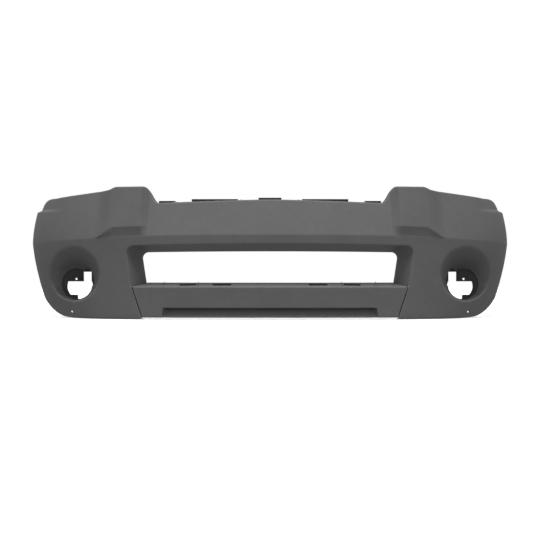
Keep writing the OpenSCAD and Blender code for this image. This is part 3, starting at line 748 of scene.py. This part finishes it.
def make_valance():
    rows = np.array(valance_rows())
    z, depth, back = rows[:, 0], rows[:, 1], rows[:, 2]
    columns = []
    for x, share in valance_columns(z):
        points = on_skin(x, z)
        points[:, 1] += depth * share + back
        columns.append(points)
    shelf = []
    for column, (x, share) in zip(columns, valance_columns(np.full(1, RIM_FOOT_Z))):
        x0 = float(x[0])
        y0 = float(on_skin(x0, RIM_FOOT_Z)[1])
        narrow = (RIM_FOOT_X - FUNNEL_SIDE + 0.005 - SEAM_GAP) / float(seam_edge(RIM_FOOT_Z))
        corner = np.array([x0, y0, RIM_FOOT_Z + LOW[2]])
        end = corner + [x0 * (narrow - 1), FUNNEL_D, SHELF_RISE]
        start = corner + (end - corner) * 0.04
        front = column[-1]
        top = arc_rows(front, corner, start, 4)
        top += [mix(start, end, f) for f in np.linspace(0, 0.96, 14)[1:]]
        drop = end + [0, 0.002, -0.014]
        near = mix(start, end, 0.96)
        top += [(1 - u) ** 2 * near + 2 * u * (1 - u) * end + u * u * mix(end, drop, 0.25)
                for u in (0.33, 0.67, 1)]
        top.append(drop)
        shelf.append(np.array(top))
    full = [np.concatenate([c, s]) for c, s in zip(columns, shelf)]
    made = mesh_object("valance", both_sides([strip_faces(full)]))
    flip_if(made, lambda c, n: n.y > 0 if abs(c.x) < 0.1 and 0.07 < c.z - LOW[2] < 0.10 else None)
    thickened(made)
    cutters = []
    for g in (1, -1):
        for x0, x1 in ((0.141, 0.210), (0.269, 0.331)):
            y = float(on_skin(x0, RIM_FOOT_Z)[1]) + 0.026
            cutters.append(slot_cutter(g * x0, g * x1, y, y + 0.036, RIM_FOOT_Z - 0.012, RIM_FOOT_Z + 0.03))
        y = float(on_skin(0.329, RECESS_Z)[1]) + 0.006
        cutters.append(slot_cutter(g * 0.329, g * 0.368, y, y + 0.017,
                                   RECESS_Z - 0.005, RECESS_Z + 0.015, 0.003))
    cut(made, *cutters)
    pieces = [made]
    for g in (1, -1):
        for x in (0.263, 0.388):
            pieces.append(shelf_rib(g * x))
    ear = seam_ear("ear", -SEAM_GAP / 2 - EAR_GAP - WALL, 0.0005)
    pieces += [ear, mirrored_copy(ear, "ear")]
    return shaded(joined("valance_moulding", pieces), 40)


def slot_cutter(x0, x1, y0, y1, z0, z1, radius=0.005):
    """An upright block with round corners, for a slot."""
    x0, x1 = min(x0, x1), max(x0, x1)
    corners = [(x1 - radius, y1 - radius, 0), (x0 + radius, y1 - radius, 90),
               (x0 + radius, y0 + radius, 180), (x1 - radius, y0 + radius, 270)]
    loop = []
    for cx, cy, a0 in corners:
        for a in np.radians(np.linspace(a0, a0 + 90, 5)):
            loop.append((cx + radius * math.cos(a), cy + radius * math.sin(a)))
    n = len(loop)
    points = np.array([(x, y, z + LOW[2]) for z in (z0, z1) for x, y in loop])
    faces = [tuple(range(n - 1, -1, -1)), tuple(range(n, 2 * n))]
    faces += [(i, (i + 1) % n, n + (i + 1) % n, n + i) for i in range(n)]
    return mesh_object("cutter", [(points, faces)])


def shelf_rib(x):
    """A low rib that runs from front to back on the shelf."""
    y = float(on_skin(abs(x), RIM_FOOT_Z)[1])
    z = RIM_FOOT_Z + LOW[2]
    w = 0.0012
    points = []
    for f in (0.06, 0.95):
        for dx, dz in ((-w, -0.001), (w, -0.001), (w * 0.6, 0.004), (-w * 0.6, 0.004)):
            points.append((x + dx, y + FUNNEL_D * f, z + SHELF_RISE * f + dz))
    faces = [(0, 1, 2, 3), (4, 7, 6, 5), (0, 4, 5, 1), (1, 5, 6, 2), (2, 6, 7, 3), (3, 7, 4, 0)]
    return rounded(mesh_object("rib", [(np.array(points), faces)]), 0.0004, 1)


# ---------- the top support strip ----------
TAB_RISE, TAB_D, TAB_FRONT, TAB_HOLE_Y, TAB_HOLE_R = 0.007, 0.030, 0.028, 0.016, 0.004
TABS = ((0, 0.084), (0.203, 0.168), (-0.203, 0.168), (0.381, 0.058), (-0.381, 0.058))
STRIP_X, STRIP_DROP, STRIP_SCREWS, STRIP_SCREW_Y = 0.408, 0.0042, (-0.345, -0.105, 0.105, 0.345), 0.016
SCREW_R = 0.002


def top_edge(x, back=0.0, up=0.0):
    """Points behind and above the top edge."""
    x = np.asarray(x, float)
    t = plan_t(x)
    z = front_top(x)
    nx, ny = plan_normal(t)
    inset = inset_at(t, z)
    return placed(np.sign(x) * (plan_x(t) - nx * inset), plan_y(t) - ny * inset + back, z + up)


def make_strip():
    x = np.linspace(-STRIP_X, STRIP_X, 81)
    rows = [top_edge(x, back, -STRIP_DROP) for back in (0.008, 0.022, 0.036, 0.048)]
    rows += arc_rows(rows[-1], top_edge(x, 0.0508, -STRIP_DROP), top_edge(x, 0.0512, -STRIP_DROP - 0.003), 4)
    rows += [top_edge(x, 0.052, -STRIP_DROP - 0.014)]
    body = mesh_object("strip", [strip_faces(rows)])
    flip_if(body, lambda c, n: n.z < 0 if n.z ** 2 > 0.9 else None)
    thickened(body)
    pieces = [cut(body, *[cylinder("hole", SCREW_R + 0.0001, 0.03, top_edge(v, STRIP_SCREW_Y), 24, (0, 0, 1))
                          for v in STRIP_SCREWS])]
    for x0, width in TABS:
        corner, half = np.array([0, -TAB_HOLE_Y, 0]), width / 2
        nx, ny = plan_normal(plan_t(x0))
        along = Matrix.Rotation(math.copysign(math.atan2(nx, -ny), x0), 4, "Z")
        place = Matrix.Translation(Vector(top_edge(x0, TAB_FRONT + TAB_HOLE_Y, TAB_RISE))) @ along
        tab = box_object("tab", corner + [-half, 0, -WALL], corner + [half, TAB_D, 0])
        hole = cylinder("hole", TAB_HOLE_R, 0.02, corner + [0, TAB_HOLE_Y, 0], 40, (0, 0, 1))
        tab = rounded(cut(tab, hole), 0.0008, 2, 50)
        leg = box_object("leg", corner + [-half, 0.0002, -TAB_RISE - STRIP_DROP - 0.001],
                         corner + [half, WALL, -0.0008])
        leg = rounded(leg, 0.0005, 1)
        for piece in (tab, leg):
            piece.data.transform(place)
            pieces.append(piece)
    return shaded(joined("support_strip", pieces), 40)


# ---------- finishes ----------
class Field:
    """A shader's number that writes its own Math nodes."""

    def __init__(self, finish, socket):
        self.finish, self.socket = finish, socket

    def math(self, operation, a, b):
        made = self.finish.node("ShaderNodeMath", {"operation": operation}, {0: a, 1: b})
        return Field(self.finish, made.outputs[0])

    def __add__(self, other):
        return self.math("ADD", self, other)

    def __mul__(self, other):
        return self.math("MULTIPLY", self, other)

    def __sub__(self, other):
        return self.math("SUBTRACT", self, other)

    def __rsub__(self, other):
        return self.math("SUBTRACT", other, self)

    __radd__, __rmul__ = __add__, __mul__


class Finish:
    """A material made of nodes."""

    def __init__(self, name, **sockets):
        self.material = bpy.data.materials.new(name)
        self.material.use_nodes = True
        self.tree = self.material.node_tree
        self.shader = self.tree.nodes["Principled BSDF"]
        self.place = self.node("ShaderNodeTexCoord").outputs["Object"]
        self.set(self.shader, {key.replace("_", " "): value for key, value in sockets.items()})

    def set(self, made, sockets):
        for key, value in sockets.items():
            value = value.socket if isinstance(value, Field) else value
            if isinstance(value, bpy.types.NodeSocket):
                self.tree.links.new(value, made.inputs[key])
            else:
                made.inputs[key].default_value = value

    def node(self, kind, settings=None, sockets=None):
        """A node of that kind, with its settings and then the values or links of its sockets."""
        made = self.tree.nodes.new(kind)
        for key, value in (settings or {}).items():
            if key == "stops":
                ramp = made.color_ramp.elements
                for i, (place, grey) in enumerate(value):
                    stop = ramp[i] if i < len(ramp) else ramp.new(place)
                    stop.position, stop.color = place, (grey, grey, grey, 1)
            else:
                setattr(made, key, value)
        self.set(made, sockets or {})
        return made

    def noise(self, scale, detail=2.0, roughness=0.5, place=None):
        made = self.node("ShaderNodeTexNoise", None, {"Vector": place or self.place, "Scale": scale,
                                                       "Detail": detail, "Roughness": roughness})
        return Field(self, made.outputs["Fac"])

    def cells(self, scale, feature="F1", place=None):
        made = self.node("ShaderNodeTexVoronoi", {"feature": feature},
                         {"Vector": place or self.place, "Scale": scale})
        return Field(self, made.outputs["Distance"])

    def stepped(self, value, low, high, to_low=0.0, to_high=1.0):
        """A value mapped smoothly from one range to another and held at its ends."""
        made = self.node("ShaderNodeMapRange", {"interpolation_type": "SMOOTHSTEP"},
                         {"Value": value, "From Min": low, "From Max": high,
                          "To Min": to_low, "To Max": to_high})
        return Field(self, made.outputs["Result"])

    def attribute(self, name):
        made = self.node("ShaderNodeAttribute", {"attribute_name": name})
        return Field(self, made.outputs["Fac"])

    def tint(self, low, high, factor):
        made = self.node("ShaderNodeMix", {"data_type": "RGBA"},
                         {"Factor": factor, 6: (*low, 1), 7: (*high, 1)})
        return made.outputs[2]

    def bump(self, height, distance, strength=1.0):
        made = self.node("ShaderNodeBump", None, {"Height": height, "Distance": distance, "Strength": strength})
        return made.outputs["Normal"]

    def use(self, **sockets):
        self.set(self.shader, {key.replace("_", " "): value for key, value in sockets.items()})
        return self.material


def grained_plastic(name, base):
    """Matte plastic moulded in colour, with a fine leather grain, faint flow mottling and specks, and sharp edges
    painted lighter as a highlight and made a little less rough.
    """
    made = Finish(name, IOR=1.48)
    grain = made.cells(1150.0) * 0.6 + made.noise(2300.0, 2.0, 0.6) * 0.4
    flow = made.noise(7.0, 3.0, 0.55)
    clouds = made.noise(45.0, 3.0, 0.6)
    edge = made.attribute("edge")
    dull = [c * 0.93 for c in base]
    light = [c * 1.07 for c in base]
    speck = made.stepped(made.noise(420.0, 1.0), 0.70, 0.80)
    # Flow mottling and specks are the plastic's own tone; edge adds a painted highlight, lifting sharp edges
    # towards the lighter tone.
    mottling_and_edge_highlight = made.stepped(flow * 0.6 + clouds * 0.4, 0.35, 0.65) * 0.7 + edge * 0.35 + speck * 0.25
    return made.use(
        Base_Color=made.tint(dull, light, mottling_and_edge_highlight),
        Roughness=0.62 - edge * 0.10 + flow * 0.08 - grain * 0.05,
        Normal=made.bump(grain + clouds * 0.3, 0.00009, 0.8))


def black_nylon(name, base, roughness):
    """Satin black glass-filled nylon: smooth, with fine short fibres and faint clouds, and sharp edges painted
    lighter in patches as a highlight and made a little glossier.
    """
    made = Finish(name, IOR=1.50)
    fibres = made.noise(1600.0, 2.0, 0.5)
    clouds = made.noise(60.0, 3.0)
    edge = made.attribute("edge")
    # painted highlight: sharp edges, broken up by noise, are tinted towards a colour 2.2 times lighter
    edge_highlight = made.stepped(edge * 0.8 + made.noise(240.0) * 0.5, 0.55, 0.95)
    return made.use(
        Base_Color=made.tint(base, [c * 2.2 for c in base], edge_highlight * 0.6 + clouds * 0.3),
        Roughness=roughness + clouds * 0.12 - edge_highlight * 0.06,
        Normal=made.bump(fibres, 0.00005, 0.6))


def plated_steel(name):
    """Bright zinc plating with passivation tints and fine tool marks."""
    made = Finish(name, Metallic=1.0)
    tints = made.noise(170.0, 3.0, 0.6)
    marks = made.noise(900.0, 4.0, 0.7)
    spots = made.stepped(made.noise(600.0, 2.0), 0.62, 0.72)
    return made.use(
        Base_Color=made.tint((0.60, 0.60, 0.60), (0.50, 0.50, 0.54), tints + spots * 0.3),
        Roughness=0.28 + marks * 0.16 + spots * 0.1,
        Normal=made.bump(marks, 0.00004, 0.5))


def edge_highlight_mask(made, low=70.0, high=320.0):
    """Writes how sharply each vertex stands out, from 0 to 1, as the attribute edge, which the finishes use to
    paint sharp edges lighter as a highlight.
    """
    mesh = made.data
    count = len(mesh.vertices)
    points, normals = np.empty(count * 3), np.empty(count * 3)
    mesh.vertices.foreach_get("co", points)
    mesh.vertex_normals.foreach_get("vector", normals)
    points, normals = points.reshape(-1, 3), normals.reshape(-1, 3)
    pairs = np.empty(len(mesh.edges) * 2, np.int64)
    mesh.edges.foreach_get("vertices", pairs)
    a, b = pairs.reshape(-1, 2).T
    step = points[b] - points[a]
    bend = ((normals[b] - normals[a]) * step).sum(axis=1) / np.maximum((step * step).sum(axis=1), 1e-8)
    most = np.zeros(count)
    np.maximum.at(most, a, bend)
    np.maximum.at(most, b, bend)
    value = smooth(low, high, most)
    made.data.attributes.new("edge", "FLOAT", "POINT").data.foreach_set("value", value.astype(np.float32))
    return made


COVER_GREY = grained_plastic("moulded_grey_plastic", (0.138, 0.138, 0.140))
BLACK = black_nylon("satin_black_nylon", (0.016, 0.016, 0.017), 0.42)
RIVET_BLACK = black_nylon("rivet_black_nylon", (0.014, 0.014, 0.015), 0.36)
STEEL = plated_steel("zinc_plated_steel")


def finished(made, material, slot, body, *nodes):
    """Gives a piece its finish and its body, and hides the CAD nodes that it stands for."""
    # the edge attribute drives the painted highlight on sharp edges
    edge_highlight_mask(made)
    made.data.materials.clear()
    made.data.materials.append(material)
    if nodes:
        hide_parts(*nodes)
    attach(made, body)
    return made


# ---------- hardware ----------
def turned_profile(name, profile, count=40):
    """A closed solid turned about z from radius and height pairs, the first and last on the axis or joined."""
    bm = bmesh.new()
    rings = []
    for r, z in profile:
        if r < 1e-6:
            rings.append([bm.verts.new((0, 0, z))])
        else:
            rings.append([bm.verts.new((r * math.cos(a), r * math.sin(a), z))
                          for a in np.linspace(0, 2 * math.pi, count, endpoint=False)])
    pairs = list(zip(rings[:-1], rings[1:]))
    if len(rings[0]) > 1:
        pairs.append((rings[-1], rings[0]))
    for low, high in pairs:
        for i in range(count):
            j = (i + 1) % count
            face = [low[i % len(low)], low[j % len(low)], high[j % len(high)], high[i % len(high)]]
            face = [v for k, v in enumerate(face) if v not in face[:k]]
            if len(face) > 2:
                bm.faces.new(face)
    bmesh.ops.recalc_face_normals(bm, faces=bm.faces)
    mesh = bpy.data.meshes.new(name)
    bm.to_mesh(mesh)
    bm.free()
    made = bpy.data.objects.new(name, mesh)
    bpy.context.scene.collection.objects.link(made)
    return made


SCREW_HEAD_R = 0.0045


def screw(name, length, head_r, head_h):
    """A pan-head screw with a cross recess, its head's seat at z 0 and its tip at -length."""
    ridges = []
    z = -0.0016
    while z > -length + 0.0022:
        ridges += [(SCREW_R - 0.0004, z), (SCREW_R - 0.00002, z - 0.00045)]
        z -= 0.0009
    dome = ((0, 1), (0.45, 0.985), (0.78, 0.80), (0.93, 0.45), (0.985, 0.22), (1, 0.1), (0.985, 0))
    profile = [(head_r * r, head_h * h) for r, h in dome] + [(SCREW_R - 0.0001, 0)]
    profile += ridges + [(SCREW_R - 0.0006, -length + 0.0016), (0.0004, -length), (0, -length)]
    made = turned_profile(name, profile, 32)
    cutters = []
    for width, depth in ((0.62, 0.20), (0.20, 0.62)):
        x, y = head_r * width, head_r * depth
        cutters.append(box_object("recess", (-x, -y, head_h * 0.35), (x, y, head_h * 2)))
    return shaded(cut(made, *cutters), 35)


def sleeve(name):
    """A push rivet's sleeve, its flange's seat at z 0 and its four legs beyond the ears."""
    grip, bore = 2 * (SEAM_GAP / 2 + EAR_GAP + WALL), 0.0025 + 0.00008
    profile = [(bore, -0.002), (0.0083, -0.002), (0.0088, -0.0017), (0.009, -0.0011), (0.009, -0.0004),
               (0.0086, 0), (RIVET_R, 0), (RIVET_R, grip + 0.0045), (RIVET_R - 0.0003, grip + 0.0062),
               (RIVET_R - 0.0008, grip + 0.007), (bore, grip + 0.007)]
    made = turned_profile(name, profile, 48)
    slits = [box_object("slit", (-x, -y, grip - 0.004), (x, y, grip + 0.02))
             for x, y in ((0.0006, 0.01), (0.01, 0.0006))]
    notches = [box_object("notch", (x - 0.0011, y - 0.0011, -0.0026), (x + 0.0011, y + 0.0011, -0.0012))
               for x, y in ((0.0086, 0), (-0.0086, 0), (0, 0.0086), (0, -0.0086))]
    return shaded(cut(made, *slits, *notches), 35)


def pin(name):
    """A push rivet's pin, its head above the sleeve's flange, with a slot for a screwdriver."""
    grip = 2 * (SEAM_GAP / 2 + EAR_GAP + WALL)
    head = -0.0023
    profile = [(0, head - 0.0016), (0.0036, head - 0.00155), (0.0048, head - 0.0012),
               (0.0054, head - 0.0006), (0.0055, head), (0.0025, head), (0.0025, grip + 0.0062),
               (0.0021, grip + 0.0069), (0, grip + 0.007)]
    made = turned_profile(name, profile, 40)
    slit = box_object("slit", (-0.0036, -0.0005, head - 0.003), (0.0036, 0.0005, head - 0.0009))
    return shaded(cut(made, slit), 35)


def fastener_tree():
    """Nodes that set one fastener on every point of a mesh, along its direction and turned by chance."""
    tree = bpy.data.node_groups.new("fasteners", "GeometryNodeTree")
    tree.is_modifier = True
    sockets = {}
    for name, kind, way in (("Places", "NodeSocketGeometry", "INPUT"), ("Fastener", "NodeSocketObject", "INPUT"),
                            ("Size", "NodeSocketFloat", "INPUT"), ("Turn", "NodeSocketFloat", "INPUT"),
                            ("Seed", "NodeSocketInt", "INPUT"), ("Finish", "NodeSocketMaterial", "INPUT"),
                            ("Fasteners", "NodeSocketGeometry", "OUTPUT")):
        sockets[name] = tree.interface.new_socket(name, in_out=way, socket_type=kind).identifier
    nodes, link = tree.nodes, tree.links.new
    given, result = nodes.new("NodeGroupInput"), nodes.new("NodeGroupOutput")
    info = nodes.new("GeometryNodeObjectInfo")
    points = nodes.new("GeometryNodeMeshToPoints")
    direction = nodes.new("GeometryNodeInputNamedAttribute")
    direction.data_type = "FLOAT_VECTOR"
    direction.inputs["Name"].default_value = "direction"
    aim = nodes.new("FunctionNodeAlignRotationToVector")
    aim.axis = "Z"
    chance = nodes.new("FunctionNodeRandomValue")
    chance.data_type = "FLOAT"
    spin = nodes.new("FunctionNodeAxisAngleToRotation")
    spin.inputs["Axis"].default_value = (0, 0, 1)
    turn = nodes.new("FunctionNodeRotateRotation")
    turn.rotation_space = "LOCAL"
    put = nodes.new("GeometryNodeInstanceOnPoints")
    real = nodes.new("GeometryNodeRealizeInstances")
    coat = nodes.new("GeometryNodeSetMaterial")
    link(given.outputs["Fastener"], info.inputs["Object"])
    link(given.outputs["Places"], points.inputs["Mesh"])
    link(direction.outputs["Attribute"], aim.inputs["Vector"])
    link(given.outputs["Turn"], chance.inputs[3])
    link(given.outputs["Seed"], chance.inputs["Seed"])
    link(chance.outputs[1], spin.inputs["Angle"])
    link(aim.outputs["Rotation"], turn.inputs["Rotation"])
    link(spin.outputs["Rotation"], turn.inputs["Rotate By"])
    link(points.outputs["Points"], put.inputs["Points"])
    link(info.outputs["Geometry"], put.inputs["Instance"])
    link(turn.outputs["Rotation"], put.inputs["Rotation"])
    link(given.outputs["Size"], put.inputs["Scale"])
    link(put.outputs["Instances"], real.inputs["Geometry"])
    link(real.outputs["Geometry"], coat.inputs["Geometry"])
    link(given.outputs["Finish"], coat.inputs["Material"])
    link(coat.outputs["Geometry"], result.inputs["Fasteners"])
    return tree, sockets


FASTENERS, FASTENER_SOCKETS = fastener_tree()


def fasteners(name, fastener, places, directions, material, seed, turn=math.pi):
    """One mesh with a fastener at every place, along every direction."""
    mesh = bpy.data.meshes.new(name)
    mesh.from_pydata([tuple(float(v) for v in p) for p in places], [], [])
    flat = np.array(directions, np.float32).ravel()
    mesh.attributes.new("direction", "FLOAT_VECTOR", "POINT").data.foreach_set("vector", flat)
    made = bpy.data.objects.new(name, mesh)
    bpy.context.scene.collection.objects.link(made)
    modifier = made.modifiers.new("fasteners", "NODES")
    modifier.node_group = FASTENERS
    for key, value in (("Fastener", fastener), ("Size", 1.0), ("Turn", turn), ("Seed", seed), ("Finish", material)):
        modifier[FASTENER_SOCKETS[key]] = value
    baked(made)
    bpy.data.objects.remove(fastener)
    return made


def loose_parts(node):
    """The lowest and highest corners of every separate solid of a CAD node."""
    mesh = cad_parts[node].data
    bm = bmesh.new()
    bm.from_mesh(mesh)
    bmesh.ops.remove_doubles(bm, verts=bm.verts, dist=1e-5)
    seen, parts = set(), []
    for start in bm.verts:
        if start in seen:
            continue
        seen.add(start)
        stack, found = [start], []
        while stack:
            vert = stack.pop()
            found.append(tuple(vert.co))
            for edge in vert.link_edges:
                other = edge.other_vert(vert)
                if other not in seen:
                    seen.add(other)
                    stack.append(other)
        points = np.array(found)
        parts.append((points.min(axis=0), points.max(axis=0)))
    bm.free()
    return parts


def seat_screws(name, node, length, head_h, axis, seed):
    """The screws of one node, seated where the CAD's are."""
    along = axis.index(1)
    places = []
    for low, high in loose_parts(node):
        place = (low + high) / 2
        place[along] = high[along] - head_h
        places.append(place.tolist())
    made = screw("screw", length, SCREW_HEAD_R, head_h)
    finished(fasteners(name, made, places, [axis] * len(places), STEEL, seed), STEEL, "screw", ROOT, node)


def make_screws():
    up, back = (0, 0, 1), (0, 1, 0)
    seat_screws("strip_screws", "top_strip_screws", 0.012, 0.002, up, 3)
    for side in SIDES:
        seat_screws(f"bracket_screws_{side}", f"fog_bracket_screws_{side}", 0.0163, 0.003, back, 5)
        seat_screws(f"guide_screws_{side}", f"side_guide_screws_{side}", 0.0103, 0.002, up, 7)


def rivet_matrix(side, z):
    """Where a push rivet stands: its z axis along the pin, from the middle of the vehicle outwards."""
    seam = (Matrix.Translation(Vector(SEAM_MIDDLE)) @ Matrix.Rotation(TUCK, 4, "X")
            @ Matrix.Rotation(SEAM_ANGLE, 4, "Y"))
    head = -SEAM_GAP / 2 - EAR_GAP - WALL - 0.0003
    place = seam @ Matrix.Translation(Vector((head, RIVET_Y, z))) @ Matrix.Rotation(math.pi / 2, 4, "Y")
    return place if side > 0 else Matrix.Scale(-1, 4, Vector((1, 0, 0))) @ place


def make_rivets():
    for side, g in SIDES.items():
        matrices = [rivet_matrix(g, z) for z in (-RIVET_PITCH, 0, RIVET_PITCH)]
        axes = [(m.to_3x3() @ Vector((0, 0, 1))).normalized() for m in matrices]
        group = fasteners(f"push_rivet_sleeves_{side}", sleeve("sleeve"), [m.translation for m in matrices],
                          axes, RIVET_BLACK, 11, 0.6)
        finished(group, RIVET_BLACK, "rivet", ROOT, f"rivet_sleeves_{side}")
        for i, (matrix, axis) in enumerate(zip(matrices, axes)):
            piece = pin(f"push_rivet_pin_{side}_{i + 1}")
            aim = Vector((0, 0, 1)).rotation_difference(axis).to_matrix().to_4x4()
            piece.data.transform(Matrix.Translation(matrix.translation) @ aim
                                 @ Matrix.Rotation(0.5 + i, 4, "Z"))
            finished(piece, RIVET_BLACK, "rivet", f"rivet_pin_{side}_{i + 1}", f"rivet_pin_{side}_{i + 1}")


# ---------- brackets and guides ----------
def copied(node, name, width, segments=2):
    """A CAD piece again, with its edges rounded."""
    bm = bmesh.new()
    bm.from_mesh(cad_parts[node].data)
    bmesh.ops.remove_doubles(bm, verts=bm.verts, dist=1e-5)
    bmesh.ops.dissolve_limit(bm, angle_limit=math.radians(1), verts=bm.verts, edges=bm.edges)
    bmesh.ops.recalc_face_normals(bm, faces=bm.faces)
    mesh = bpy.data.meshes.new(name)
    bm.to_mesh(mesh)
    bm.free()
    made = bpy.data.objects.new(name, mesh)
    bpy.context.scene.collection.objects.link(made)
    return shaded(rounded(made, width, segments, 40), 35)


def make_black_parts():
    finished(make_strip(), BLACK, "bracket", ROOT, "top_support_strip")
    for side in SIDES:
        for node, width in ((f"fog_bracket_{side}", 0.0007), (f"side_guide_{side}", 0.0006)):
            finished(copied(node, f"{node}_finished", width), BLACK, "bracket", ROOT, node)


# ---------- studio ----------
def area_light(name, place, aim, width, height, power):
    data = bpy.data.lights.new(name, "AREA")
    data.shape = "RECTANGLE"
    data.size, data.size_y, data.energy = width, height, power
    light = bpy.data.objects.new(name, data)
    light.location = place
    light.rotation_euler = (Vector(aim) - Vector(place)).to_track_quat("-Z", "Y").to_euler()
    bpy.context.scene.collection.objects.link(light)


TENT_ABOVE, TENT_BELOW, KEY, KEY_HEIGHT = 0.40, 0.42, 2.4, math.radians(72)


def make_world():
    """A soft and nearly even tent of light, seen as plain white by the camera."""
    world = bpy.data.worlds.new("studio")
    bpy.context.scene.world = world
    world.use_nodes = True
    nodes, link = world.node_tree.nodes, world.node_tree.links.new
    tent, out = nodes["Background"], nodes["World Output"]
    place, split = nodes.new("ShaderNodeTexCoord"), nodes.new("ShaderNodeSeparateXYZ")
    level = nodes.new("ShaderNodeMapRange")
    for name, value in (("From Min", -0.15), ("From Max", 0.15), ("To Min", TENT_BELOW),
                        ("To Max", TENT_ABOVE)):
        level.inputs[name].default_value = value
    white = nodes.new("ShaderNodeBackground")
    white.inputs["Color"].default_value = (1, 1, 1, 1)
    path, choice = nodes.new("ShaderNodeLightPath"), nodes.new("ShaderNodeMixShader")
    tent.inputs["Color"].default_value = (1, 1, 1, 1)
    link(place.outputs["Generated"], split.inputs[0])
    link(split.outputs["Z"], level.inputs["Value"])
    link(level.outputs[0], tent.inputs["Strength"])
    link(path.outputs["Is Camera Ray"], choice.inputs[0])
    link(tent.outputs[0], choice.inputs[1])
    link(white.outputs[0], choice.inputs[2])
    link(choice.outputs[0], out.inputs["Surface"])


def make_key():
    """A large soft light high above, in front of the part."""
    data = bpy.data.lights.new("overhead", "SUN")
    data.energy, data.angle = KEY, math.radians(28)
    light = bpy.data.objects.new("overhead", data)
    light.rotation_euler = (math.pi / 2 - KEY_HEIGHT, 0.0, 0.0)
    bpy.context.scene.collection.objects.link(light)


def make_studio():
    bpy.context.scene.view_settings.view_transform = "Standard"
    make_world()
    corners = np.array([[-9, -9, 0], [9, -9, 0], [9, 9, 0], [-9, 9, 0.0]]) + [0, 0, LOW[2] - 0.001]
    floor = mesh_object("floor", [(corners, [(0, 1, 2, 3)])])
    pale = Finish("pale_floor", Roughness=0.8)
    pale.use(Base_Color=pale.tint((0.82, 0.82, 0.82), (0.86, 0.86, 0.86), pale.noise(3.0, 2.0)),
             Emission_Color=(1, 1, 1, 1), Emission_Strength=0.5)
    floor.data.materials.append(pale.material)
    floor.visible_diffuse = floor.visible_glossy = False
    make_key()
    area_light("front_softbox", (0.0, -3.6, 2.6), (0, 0.1, -0.2), 4.5, 1.6, 12.0)


finished(make_cover(), COVER_GREY, "cover", ROOT, "cover_shell")
finished(make_valance(), COVER_GREY, "cover", ROOT, "center_valance")
make_black_parts()
make_screws()
make_rivets()
make_studio()
